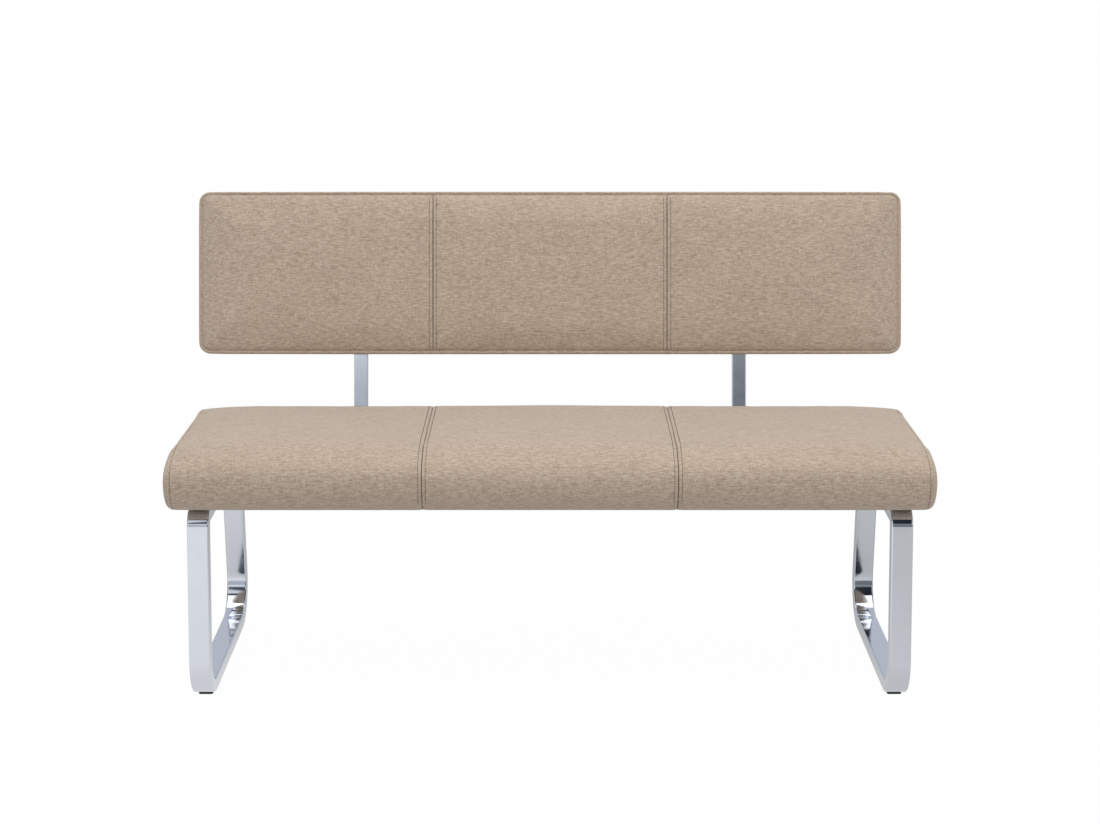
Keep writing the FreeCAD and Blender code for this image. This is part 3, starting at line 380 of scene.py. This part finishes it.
def woven_melange():
    """Woven polyester melange: uneven yarns of several beiges give short streaks both ways."""
    material, shader = new_material("woven_melange_polyester")
    tree = material.node_tree
    # Cloth on the bench's ends is turned so that its weft runs from front to back
    spot = add(tree, "ShaderNodeTexCoord")
    facing = add(tree, "ShaderNodeSeparateXYZ", {0: spot.outputs["Normal"]})
    sideways = add(tree, "ShaderNodeMath", {0: facing.outputs[0]}, operation="ABSOLUTE")
    on_end = add(tree, "ShaderNodeMath", {0: sideways.outputs[0], 1: 0.75}, operation="GREATER_THAN")
    axes = add(tree, "ShaderNodeSeparateXYZ", {0: spot.outputs["Object"]})
    turned = add(tree, "ShaderNodeCombineXYZ", {0: axes.outputs[1], 1: axes.outputs[0], 2: axes.outputs[2]})
    laid = add(
        tree, "ShaderNodeMix",
        {0: on_end.outputs[0], 4: spot.outputs["Object"], 5: turned.outputs[0]}, data_type="VECTOR",
    ).outputs[1]
    # Weft slubs run along the cloth and warp slubs across it; the yarns are drawn three times too coarse
    weft = streaks(tree, (12, 1.8, 1.8), laid)
    warp = streaks(tree, (1.8, 7, 7), laid)
    both = add(
        tree, "ShaderNodeMath", {0: warp.outputs[0], 1: 0.6, 2: weft.outputs[0]}, operation="MULTIPLY_ADD"
    )
    spread = add(
        tree, "ShaderNodeMapRange",
        {"Value": both.outputs[0], "From Min": 0.48, "From Max": 1.12},
    )
    yarns = add(
        tree, "ShaderNodeMix",
        {0: spread.outputs[0], 6: (*colours().yarn_dark, 1), 7: (*colours().yarn_light, 1)},
        data_type="RGBA",
    )
    # Dye lots and handling leave wide, faint clouds
    clouds = streaks(tree, (70, 70, 70))
    shade = add(
        tree, "ShaderNodeMapRange",
        {"Value": clouds.outputs[0], "From Min": 0.3, "From Max": 0.7, "To Min": 0.98, "To Max": 1.02},
    )
    clouded = add(
        tree, "ShaderNodeVectorMath", {0: yarns.outputs[2], "Scale": shade.outputs[0]}, operation="SCALE"
    )
    tree.links.new(clouded.outputs[0], shader.inputs["Base Color"])
    relief = add(
        tree, "ShaderNodeBump",
        {"Height": both.outputs[0], "Strength": 0.35, "Distance": 0.5 * MM},
    )
    tree.links.new(relief.outputs[0], shader.inputs["Normal"])
    shader.inputs["Roughness"].default_value = 0.92
    shader.inputs["Specular IOR Level"].default_value = 0.2
    shader.inputs["Sheen Weight"].default_value = 0.25
    shader.inputs["Sheen Roughness"].default_value = 0.5
    return material


def upholstery_cloth():
    """The cloth, woven when the first piece asks for it."""
    return bpy.data.materials.get("woven_melange_polyester") or woven_melange()


def twisted_thread():
    """Corespun polyester thread: the light that its plies catch is painted into its colour, in fine slanting
    bars.
    """
    material, shader = new_material("corespun_polyester_thread")
    tree = material.node_tree
    # Painted highlights and shade: the thread's colour runs from seven tenths of itself up to its full tone
    # in fine specks
    plies = streaks(tree, (0.6, 0.6, 0.6))
    tone = add(
        tree, "ShaderNodeMix",
        {0: plies.outputs[0], 6: (*[0.7 * c for c in colours().thread], 1), 7: (*colours().thread, 1)},
        data_type="RGBA",
    )
    tree.links.new(tone.outputs[2], shader.inputs["Base Color"])
    shader.inputs["Roughness"].default_value = 0.6
    return material


def chrome_plate():
    """Bright chrome on polished steel: a mirror with faint polishing haze."""
    material, shader = new_material("polished_chrome_plate")
    tree = material.node_tree
    haze = streaks(tree, (30, 30, 30))
    polish = add(
        tree, "ShaderNodeMapRange",
        {"Value": haze.outputs[0], "From Min": 0.3, "From Max": 0.7, "To Min": 0.06, "To Max": 0.12},
    )
    tree.links.new(polish.outputs[0], shader.inputs["Roughness"])
    shader.inputs["Base Color"].default_value = (*colours().chrome, 1)
    shader.inputs["Metallic"].default_value = 1
    return material


def grained(name, dark, light, spacing, roughness, metallic=0.0, relief=0.2):
    """A plain finish whose grain is drawn out as the spacing says."""
    material, shader = new_material(name)
    tree = material.node_tree
    grain = streaks(tree, spacing)
    tone = add(
        tree, "ShaderNodeMix",
        {0: grain.outputs[0], 6: (*linear(dark), 1), 7: (*linear(light), 1)}, data_type="RGBA",
    )
    tree.links.new(tone.outputs[2], shader.inputs["Base Color"])
    bump = add(
        tree, "ShaderNodeBump", {"Height": grain.outputs[0], "Strength": relief, "Distance": 0.2 * MM}
    )
    tree.links.new(bump.outputs[0], shader.inputs["Normal"])
    shader.inputs["Roughness"].default_value = roughness
    shader.inputs["Metallic"].default_value = metallic
    return material


def frame_finishes():
    """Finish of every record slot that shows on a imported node."""
    return {
        "chrome": chrome_plate(),
        # Moulded polyamide: black, with a fine spark-eroded grain
        "glide_plastic": grained("moulded_polyamide", "#121214", "#1d1d20", (0.8, 0.8, 0.8), 0.55),
        # Birch plywood: pale, with fine long grain
        "plywood": grained("birch_plywood", "#b8925f", "#d9bc8d", (120, 3, 3), 0.6),
        # Planed beech: pinkish, with short flecks along the rails
        "beech": grained("planed_beech", "#b07f52", "#cfa47a", (40, 2, 2), 0.55),
        # Oiled spring wire: dark drawn steel
        "spring_steel": grained("oiled_spring_wire", "#3b3b3e", "#5c5c60", (4, 4, 4), 0.35, 1.0),
        # Zinc plate: a bright passivated steel with a slight bloom
        "zinc_steel": grained("bright_zinc_plate", "#a9aaa6", "#c8c9c4", (5, 5, 5), 0.3, 1.0),
        # Needled felt: grey fibres every way
        "felt": grained("needled_felt", "#5d5b57", "#8f8c86", (2, 2, 2), 0.95, relief=0.6),
        # Spun-bonded dust cloth: black, with a pressed dot grain
        "lining": grained("spunbonded_dust_cloth", "#131313", "#262626", (1.5, 1.5, 1.5), 0.85),
    }


# Seat


def panel_spans():
    """Name, left limit and right limit of each of the three panels."""
    return (("left", -BENCH_END, SEAT_LOW.x), ("centre", SEAT_LOW.x, SEAT_HIGH.x),
            ("right", SEAT_HIGH.x, BENCH_END))


def seat_section():
    """Sharp corners of the seat's section at a seam, from under the nose round to the rear,
    each with the offset and the steps of the bevel that rounds it."""
    s = sizes()
    front = SEAT_LOW.y + s.front_crown
    rear = SEAT_HIGH.y
    under = SEAT_LOW.z
    top = SEAT_HIGH.z - s.seat_crown
    brow_turn = (math.pi / 2 - s.nose_slope) / 2
    brow = under + s.nose_bottom_radius + s.nose_top_radius * math.tan(brow_turn)
    brow_offset = s.nose_top_radius * math.tan(brow_turn)
    fall_length = (top - brow) / math.sin(s.nose_slope)
    return [
        ((front, under), s.nose_bottom_radius * BEVEL_SHARE, 10),
        ((front, brow), brow_offset * BEVEL_SHARE, 8),
        ((front + fall_length * math.cos(s.nose_slope), top), (fall_length - brow_offset) * BEVEL_SHARE, 8),
        ((rear, top - s.seat_fall), s.rear_top_radius, 6),
        ((rear, under), s.rear_bottom_radius, 6),
    ]


def in_plane(axis, value):
    """Test for edges that lie in the plane at that value of an axis."""
    return lambda a, b: abs(a[axis] - value) < TOUCH and abs(b[axis] - value) < TOUCH


def droop(panel):
    """Lets the padding fall away towards the bench's ends."""
    s = sizes()
    height = SEAT_HIGH.z - SEAT_LOW.z
    for vertex in panel.data.vertices:
        along = max(0.0, abs(vertex.co.x) - BENCH_END + s.droop_length) / s.droop_length
        vertex.co.z -= s.end_droop * along ** 2 * (vertex.co.z - SEAT_LOW.z) / height


def at_bench_end(x):
    return abs(x) > BENCH_END - MM


def seat_panel(name, start, end):
    """One padded panel between two seams, or between a seam and the bench's end."""
    s = sizes()
    sides = ((start, -1), (end, 1))
    walls = [x + way * (s.end_reach if at_bench_end(x) else s.seam_overlap) for x, way in sides]
    panel = prism(f"seat_panel_{name}", seat_section(), *walls)
    for (x, _), wall in zip(sides, walls):
        border = s.end_round if at_bench_end(x) else s.channel_border
        round_edges(panel, in_plane(0, wall), border, 4)
    remesh(panel)
    seams = [wall for (x, _), wall in zip(sides, walls) if not at_bench_end(x)]

    def sewn(point):
        on_seam = any(abs(point.x - x) < s.channel_border / 2 for x in seams)
        return on_seam or point.z < SEAT_LOW.z + MM

    swell(panel, sewn, s.seat_crown)
    droop(panel)
    apply_modifier(panel, "SUBSURF", levels=1, render_levels=1)
    for x, way in sides:
        if at_bench_end(x):
            sew(panel, Vector((way * END_SEAM, 0, 0)), Vector((1, 0, 0)), 2 * s.seam_depth, s.seam_width)
        else:
            trim(panel, x, way)
    return panel


# Back


def back_place():
    """From the back's own frame, with Y to its rear and Z up its lean, to the bench's frame."""
    return Matrix.Translation(BACK_MIDDLE) @ Matrix.Rotation(-sizes().back_lean, 4, "X")


def back_block(name, low, high, corner, rounded):
    """Block of the back between two corners, its outline's corners rounded at each x in rounded."""
    bpy.ops.object.select_all(action="DESELECT")
    bpy.ops.mesh.primitive_cube_add(size=1, location=(low + high) / 2, scale=high - low)
    block = bpy.context.object
    block.name = name
    bpy.ops.object.transform_apply(location=True, rotation=True, scale=True)

    def at_corner(a, b):
        along_depth = abs(a.y - b.y) > abs(a.x - b.x) + abs(a.z - b.z)
        return along_depth and any(abs(a.x - x) < TOUCH for x in rounded)

    round_edges(block, at_corner, corner, 6)
    return block


def ease_border(pad, half, ends, rear, face, fall):
    """Lets a back panel's face fall away towards the seam round it."""
    reach = sizes().border_reach
    for vertex in pad.data.vertices:
        room = min([half - abs(vertex.co.z)] + [abs(vertex.co.x - x) for x in ends])
        near = min(1.0, max(0.0, 1 - room / reach))
        depth = (vertex.co.y - rear) / (face - rear)
        vertex.co.y -= math.copysign(fall, face) * near ** 2 * max(0.0, depth)


def back_pad(name, start, end, rear, face, crown, fall):
    """Padded cover of the back between two x limits, from inside the band out to its face."""
    s = sizes()
    half = s.back_height / 2 - s.seam_inset
    sides = ((start, -1), (end, 1))
    walls = [x - way * s.seam_inset if at_bench_end(x) else x + way * s.seam_overlap for x, way in sides]
    ends = [wall for (x, _), wall in zip(sides, walls) if at_bench_end(x)]
    seams = [wall for wall in walls if wall not in ends]
    low = Vector((walls[0], min(rear, face), -half))
    high = Vector((walls[1], max(rear, face), half))
    pad = back_block(name, low, high, s.back_corner - s.seam_inset, ends)

    def on_border(a, b):
        return in_plane(1, face)(a, b) and not any(in_plane(0, x)(a, b) for x in seams)

    round_edges(pad, on_border, s.back_border * BEVEL_SHARE, 5)
    for x in seams:
        round_edges(pad, in_plane(0, x), s.channel_border, 4)
    remesh(pad)
    outward = math.copysign(1, face - rear)

    def sewn(point):
        on_seam = any(abs(point.x - x) < s.channel_border / 2 for x in seams)
        return on_seam or (face - point.y) * outward > s.back_border

    swell(pad, sewn, crown)
    ease_border(pad, half, ends, rear, face, fall)
    apply_modifier(pad, "SUBSURF", levels=1, render_levels=1)
    for x, way in sides:
        if not at_bench_end(x):
            trim(pad, x, way)
    pad.data.transform(back_place())
    return pad


def sink_face(band, depth):
    """Sinks the band's face at the given depth, so that the cloth dips into the seam beside the panels."""
    s = sizes()
    begin(band)
    widest = max(band.data.polygons, key=lambda face: face.area * (face.center.y * depth > 0)).index
    select_faces(band, lambda face: face.index == widest)
    bpy.ops.mesh.inset(thickness=s.seam_inset - s.band_border, depth=0)
    bpy.ops.transform.translate(value=(0, -math.copysign(s.seam_groove, depth), 0))
    bpy.ops.object.mode_set(mode="OBJECT")


def back_band():
    """The band round the back's edge, over its padded core."""
    s = sizes()
    half = s.back_height / 2
    low, high = Vector((-BENCH_END, -s.front_seam, -half)), Vector((BENCH_END, s.rear_seam, half))
    band = back_block("back_band", low, high, s.back_corner, (-BENCH_END, BENCH_END))
    for depth in (-s.front_seam, s.rear_seam):
        round_edges(band, in_plane(1, depth), s.band_border, 4)
        sink_face(band, depth)
    apply_modifier(band, "SUBSURF", levels=1, render_levels=1)
    band.data.transform(back_place())
    return band


# Legs


def loop_section(low, high):
    """Sharp corners of a leg loop's outline, front foot first, with the bevels of its bends."""
    s = sizes()
    climb = (high.z - low.z) * math.tan(s.leg_rake)
    start, end = s.runner_start, s.runner_start + s.runner_length
    foot = math.tan((math.pi / 2 - s.leg_rake) / 2)
    head = math.tan((math.pi / 2 + s.leg_rake) / 2)
    return [
        ((start, low.z), s.front_bend / foot, FOOT_STEPS),
        ((end, low.z), s.rear_bend / foot, FOOT_STEPS),
        ((end - climb, high.z), s.top_bend / head, HEAD_STEPS),
        ((start + climb, high.z), s.top_bend / head, HEAD_STEPS),
    ]


def leg_frame(name, node):
    """Closed loop of flat tube: its outline drawn out, its window cut through, its long edges rounded."""
    s = sizes()
    low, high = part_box(node)
    loop = prism(name, loop_section(low, high), low.x, high.x)
    select_faces(loop, lambda face: abs(face.normal.x) > FACING)
    bpy.ops.mesh.inset(thickness=s.tube_depth, depth=0, use_even_offset=True)
    bpy.ops.mesh.bridge_edge_loops()
    bpy.ops.mesh.select_mode(type="EDGE")
    bpy.ops.mesh.select_all(action="DESELECT")
    bpy.ops.mesh.edges_select_sharp(sharpness=SHARP_EDGE)
    bpy.ops.mesh.bevel(offset=s.tube_edge, segments=4, profile=0.5, affect="EDGES")
    bpy.ops.mesh.select_all(action="SELECT")
    bpy.ops.mesh.normals_make_consistent(inside=False)
    bpy.ops.object.mode_set(mode="OBJECT")
    bpy.ops.object.shade_smooth()
    apply_modifier(loop, "WEIGHTED_NORMAL", weight=100)
    return loop


# Stitching


def seam_line(piece, x, shown):
    """Points of the piece's surface in the plane at x, in order, where shown allows."""
    begin(piece)
    bpy.ops.object.duplicate()
    slice_piece = bpy.context.object
    bpy.ops.object.mode_set(mode="EDIT")
    bpy.ops.mesh.select_all(action="SELECT")
    bpy.ops.mesh.bisect(plane_co=(x, 0, 0), plane_no=(1, 0, 0), clear_inner=True, clear_outer=True)
    bpy.ops.object.mode_set(mode="OBJECT")
    mesh = slice_piece.data
    beside = {v.index: [] for v in mesh.vertices}
    for edge in mesh.edges:
        a, b = edge.vertices
        beside[a].append(b)
        beside[b].append(a)
    walk = [min(mesh.vertices, key=lambda v: v.co.z).index]
    seen = set(walk)
    while True:
        ahead = [n for n in beside[walk[-1]] if n not in seen]
        if not ahead:
            break
        walk.append(ahead[0])
        seen.add(ahead[0])
    points = [mesh.vertices[i].co.copy() for i in walk if shown(mesh.vertices[i].co)]
    bpy.data.objects.remove(slice_piece)
    return points


def places_along(points, pitch):
    """Evenly spaced places along the points, each with its direction."""
    places = []
    run = 0.0
    for a, b in zip(points, points[1:]):
        step = (b - a).length
        while run <= step:
            places.append((a.lerp(b, run / step), (b - a).normalized()))
            run += pitch
        run -= step
    return places


def one_stitch():
    """A stitch: a short round of thread whose ends dive into the cloth."""
    s = sizes()
    bpy.ops.object.select_all(action="DESELECT")
    straight = s.stitch_length - 2 * s.thread_radius
    bpy.ops.mesh.primitive_cylinder_add(vertices=6, radius=s.thread_radius, depth=straight)
    stitch = bpy.context.object
    for end in (-1, 1):
        select_faces(stitch, lambda face: face.normal.z * end > FACING)
        bpy.ops.mesh.extrude_region_move(
            TRANSFORM_OT_translate={"value": (0, 0, end * s.thread_radius)}
        )
        bpy.ops.transform.resize(value=(0.4, 0.4, 1))
        bpy.ops.object.mode_set(mode="OBJECT")
    return stitch


def stitch_rows(name, lines, material):
    """Stitches copied along every line and joined into one piece."""
    stitch = one_stitch()
    copies = []
    for points in lines:
        for place, direction in places_along(points, sizes().stitch_pitch):
            turn = direction.to_track_quat("Z", "Y").to_matrix().to_4x4()
            mesh = stitch.data.copy()
            mesh.transform(Matrix.Translation(place) @ turn)
            copies.append(bpy.data.objects.new(name, mesh))
    bpy.data.objects.remove(stitch)
    bpy.ops.object.select_all(action="DESELECT")
    for copy in copies:
        bpy.context.scene.collection.objects.link(copy)
        copy.select_set(True)
    bpy.context.view_layer.objects.active = copies[0]
    bpy.ops.object.join()
    rows = bpy.context.object
    rows.name = name
    bpy.ops.object.shade_smooth()
    rows.data.materials.append(material)
    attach(rows, "root")
    return rows


# Studio


def seen_rays(tree):
    """1 for what the camera sees straight, mirrored or through glass."""
    path = add(tree, "ShaderNodeLightPath")
    seen = path.outputs["Is Camera Ray"]
    for name in ("Is Glossy Ray", "Is Transmission Ray"):
        seen = add(tree, "ShaderNodeMath", {0: seen, 1: path.outputs[name]}, operation="MAXIMUM").outputs[0]
    return seen


def side_falloff(tree, across, left, right, reach):
    """A value that goes from left to right over the reach either side of the middle."""
    return add(
        tree, "ShaderNodeMapRange",
        {"Value": across, "From Min": -reach, "From Max": reach, "To Min": left, "To Max": right},
    ).outputs[0]


def studio_floor():
    """A pale floor, white to the eye, that keeps a faint shadow; in the chrome its glow is a painted
    reflection, duller on the right and towards the rear.
    """
    bpy.ops.object.select_all(action="DESELECT")
    bpy.ops.mesh.primitive_plane_add(size=60)
    floor = bpy.context.object
    floor.name = "studio_floor"
    material, shader = new_material("white_paper_floor")
    tree = material.node_tree
    shader.inputs["Base Color"].default_value = (*colours().floor, 1)
    shader.inputs["Roughness"].default_value = 1
    shader.inputs["Specular IOR Level"].default_value = 0
    place = add(tree, "ShaderNodeTexCoord").outputs["Object"]
    spot = add(tree, "ShaderNodeSeparateXYZ", {0: place})
    # Painted reflection: the glow that the chrome mirrors fades towards the right and towards the rear
    before = side_falloff(tree, spot.outputs["X"], 0.93, 0.64, 1.3)
    behind = side_falloff(tree, spot.outputs["Y"], 1.0, 0.6, 0.5)
    mirrored = add(tree, "ShaderNodeMath", {0: before, 1: behind}, operation="MULTIPLY").outputs[0]
    direct = add(tree, "ShaderNodeLightPath").outputs["Is Camera Ray"]
    strength = add(tree, "ShaderNodeMix", {0: direct, 2: mirrored, 3: 1.0}, data_type="FLOAT")
    glow = add(tree, "ShaderNodeEmission", {"Color": (1, 1, 1, 1), "Strength": strength.outputs[0]})
    share = add(tree, "ShaderNodeMath", {0: seen_rays(tree), 1: FLOOR_GLOW}, operation="MULTIPLY")
    mix = add(tree, "ShaderNodeMixShader", {0: share.outputs[0], 1: shader.outputs[0], 2: glow.outputs[0]})
    tree.links.new(mix.outputs[0], tree.nodes["Material Output"].inputs["Surface"])
    floor.data.materials.append(material)


def studio_world():
    """White behind the bench, an even soft light, and a studio for the chrome to mirror:
    pale screens low down, a dark ceiling above them."""
    world = bpy.data.worlds.new("studio")
    bpy.context.scene.world = world
    world.use_nodes = True
    tree = world.node_tree
    light = tree.nodes["Background"]
    light.inputs["Color"].default_value = (1, 0.99, 0.985, 1)
    white = add(tree, "ShaderNodeBackground", {"Color": (1, 1, 1, 1), "Strength": 1.0})
    direction = add(tree, "ShaderNodeTexCoord").outputs["Generated"]
    split = add(tree, "ShaderNodeSeparateXYZ", {0: direction})
    tree.links.new(side_falloff(tree, split.outputs["Z"], 0.3, 0.75, 0.8), light.inputs["Strength"])
    screens = add(tree, "ShaderNodeValToRGB", {0: split.outputs["Z"]})
    ramp = screens.color_ramp
    while len(ramp.elements) < len(SCREENS):
        ramp.elements.new(0.5)
    for element, (place, code) in zip(ramp.elements, SCREENS):
        element.position = place
        element.color = (*linear(code), 1)
    dim = side_falloff(tree, split.outputs["X"], 1.0, 0.35, 0.09)
    screen = add(tree, "ShaderNodeBackground", {"Color": screens.outputs[0], "Strength": dim})
    wall = add(tree, "ShaderNodeBackground", {"Color": (*linear("#c3c9d3"), 1), "Strength": 1.0})
    behind = side_falloff(tree, split.outputs["Y"], 0.0, 1.0, 0.1)
    studio = add(tree, "ShaderNodeMixShader", {0: behind, 1: screen.outputs[0], 2: wall.outputs[0]})
    path = add(tree, "ShaderNodeLightPath")
    mirrored = add(
        tree, "ShaderNodeMixShader",
        {0: path.outputs["Is Glossy Ray"], 1: light.outputs[0], 2: studio.outputs[0]},
    )
    direct = add(
        tree, "ShaderNodeMath",
        {0: path.outputs["Is Camera Ray"], 1: path.outputs["Is Transmission Ray"]}, operation="MAXIMUM",
    )
    mix = add(
        tree, "ShaderNodeMixShader", {0: direct.outputs[0], 1: mirrored.outputs[0], 2: white.outputs[0]}
    )
    tree.links.new(mix.outputs[0], tree.nodes["World Output"].inputs["Surface"])


def soft_light(name, place, size, watts):
    lamp = bpy.data.objects.new(name, bpy.data.lights.new(name, "AREA"))
    bpy.context.scene.collection.objects.link(lamp)
    lamp.data.shape = "SQUARE"
    lamp.data.size = size
    lamp.data.energy = watts
    lamp.location = place
    lamp.rotation_euler = (AIM - Vector(place)).to_track_quat("-Z", "Y").to_euler()


# Operators


class BANQUETTE_OT_finishes(bpy.types.Operator):
    """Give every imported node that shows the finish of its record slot"""
    bl_idname = "banquette.finishes"
    bl_label = "Frame finishes"

    def execute(self, context):
        finishes = frame_finishes()
        for part in frame["record"]["subparts"]:
            material = finishes.get(part["material_slot"])
            if material:
                node = frame["nodes"][part["node"]]
                node.data.materials.clear()
                node.data.materials.append(material)
        return {"FINISHED"}


class BANQUETTE_OT_legs(bpy.types.Operator):
    """Bend the two chromed leg loops"""
    bl_idname = "banquette.legs"
    bl_label = "Leg loops"

    def execute(self, context):
        for side in ("left", "right"):
            loop = leg_frame(f"leg_frame_{side}", f"leg_loop_{side}")
            loop.data.materials.append(bpy.data.materials["polished_chrome_plate"])
            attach(loop, "root")
            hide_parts(f"leg_loop_{side}")
        return {"FINISHED"}


class BANQUETTE_OT_seat(bpy.types.Operator):
    """Pad the three panels of the seat"""
    bl_idname = "banquette.seat"
    bl_label = "Seat panels"

    def execute(self, context):
        cloth = upholstery_cloth()
        for name, start, end in panel_spans():
            nodes = [f"seat_cover_{name}", "seat_foam" if name == "centre" else f"seat_end_panel_{name}"]
            finish_soft(seat_panel(name, start, end), cloth, PAD_FILL, *nodes)
        return {"FINISHED"}


class BANQUETTE_OT_back(bpy.types.Operator):
    """Pad the back: three front panels, the band round its edge and the rear cover"""
    bl_idname = "banquette.back"
    bl_label = "Back panels"

    def execute(self, context):
        s = sizes()
        cloth = upholstery_cloth()
        front = (s.back_border - s.front_seam, -s.back_front, s.back_crown, s.front_fall)
        for name, start, end in panel_spans():
            pad = back_pad(f"back_pad_{name}", start, end, *front)
            finish_soft(pad, cloth, PAD_FILL, f"back_panel_{name}")
        rear = (s.rear_seam - s.back_border, s.back_rear, s.rear_crown, s.rear_fall)
        rear_pad = back_pad("back_rear_pad", -BENCH_END, BENCH_END, *rear)
        finish_soft(rear_pad, cloth, PAD_FILL, "back_rear_cover", "back_rear_foam")
        finish_soft(back_band(), cloth, BAND_FILL, "back_boxing", "back_foam")
        return {"FINISHED"}


class BANQUETTE_OT_stitching(bpy.types.Operator):
    """Sew the double rows of topstitching beside the seams of the seat and the back"""
    bl_idname = "banquette.stitching"
    bl_label = "Topstitching"

    def execute(self, context):
        s = sizes()
        thread = twisted_thread()
        to_back = back_place().inverted()
        rows = {
            "seat": ("seat_panel", lambda p: p.z > SEAT_LOW.z + s.rear_bottom_radius),
            "back": ("back_pad", lambda p: (to_back @ p).y < -s.front_seam - 2 * s.thread_radius),
        }
        for part, (prefix, shown) in rows.items():
            lines = []
            for side, seam in (("left", SEAT_LOW.x), ("right", SEAT_HIGH.x)):
                for panel, way in (("centre", -1), (side, 1)):
                    x = seam + math.copysign(s.stitch_offset, seam) * way
                    lines.append(seam_line(bpy.data.objects[f"{prefix}_{panel}"], x, shown))
            stitch_rows(f"{part}_topstitching", lines, thread)
        return {"FINISHED"}


class BANQUETTE_OT_studio(bpy.types.Operator):
    """Floor, white surroundings, soft lights and the camera"""
    bl_idname = "banquette.studio"
    bl_label = "Studio"

    def execute(self, context):
        studio_floor()
        studio_world()
        for box in SOFT_BOXES:
            soft_light(*box)
        camera = bpy.data.objects.new("camera", bpy.data.cameras.new("camera"))
        context.scene.collection.objects.link(camera)
        camera.data.lens = CAMERA_LENS
        camera.location = CAMERA_PLACE
        camera.rotation_euler = (math.radians(90 - CAMERA_TILT), 0, 0)
        context.scene.camera = camera
        context.scene.view_settings.view_transform = "Standard"
        return {"FINISHED"}


STEPS = (
    BANQUETTE_OT_finishes,
    BANQUETTE_OT_legs,
    BANQUETTE_OT_seat,
    BANQUETTE_OT_back,
    BANQUETTE_OT_stitching,
    BANQUETTE_OT_studio,
)


class BANQUETTE_PT_panel(bpy.types.Panel):
    """The banquette's steps, in the 3D view's sidebar"""
    bl_idname = "BANQUETTE_PT_panel"
    bl_label = "Banquette"
    bl_space_type = "VIEW_3D"
    bl_region_type = "UI"
    bl_category = "Banquette"

    def draw(self, context):
        for step in STEPS:
            self.layout.operator(step.bl_idname)


CLASSES = (BanquetteSizes, BanquetteColours, *STEPS, BANQUETTE_PT_panel)


def register():
    for cls in CLASSES:
        bpy.utils.register_class(cls)
    bpy.types.Scene.banquette_sizes = PointerProperty(type=BanquetteSizes)
    bpy.types.Scene.banquette_colours = PointerProperty(type=BanquetteColours)


def unregister():
    del bpy.types.Scene.banquette_colours
    del bpy.types.Scene.banquette_sizes
    for cls in reversed(CLASSES):
        bpy.utils.unregister_class(cls)


def main():
    register()
    bpy.ops.banquette.finishes()
    bpy.ops.banquette.legs()
    bpy.ops.banquette.seat()
    bpy.ops.banquette.back()
    bpy.ops.banquette.stitching()
    bpy.ops.banquette.studio()


if __name__ == "__main__":
    main()
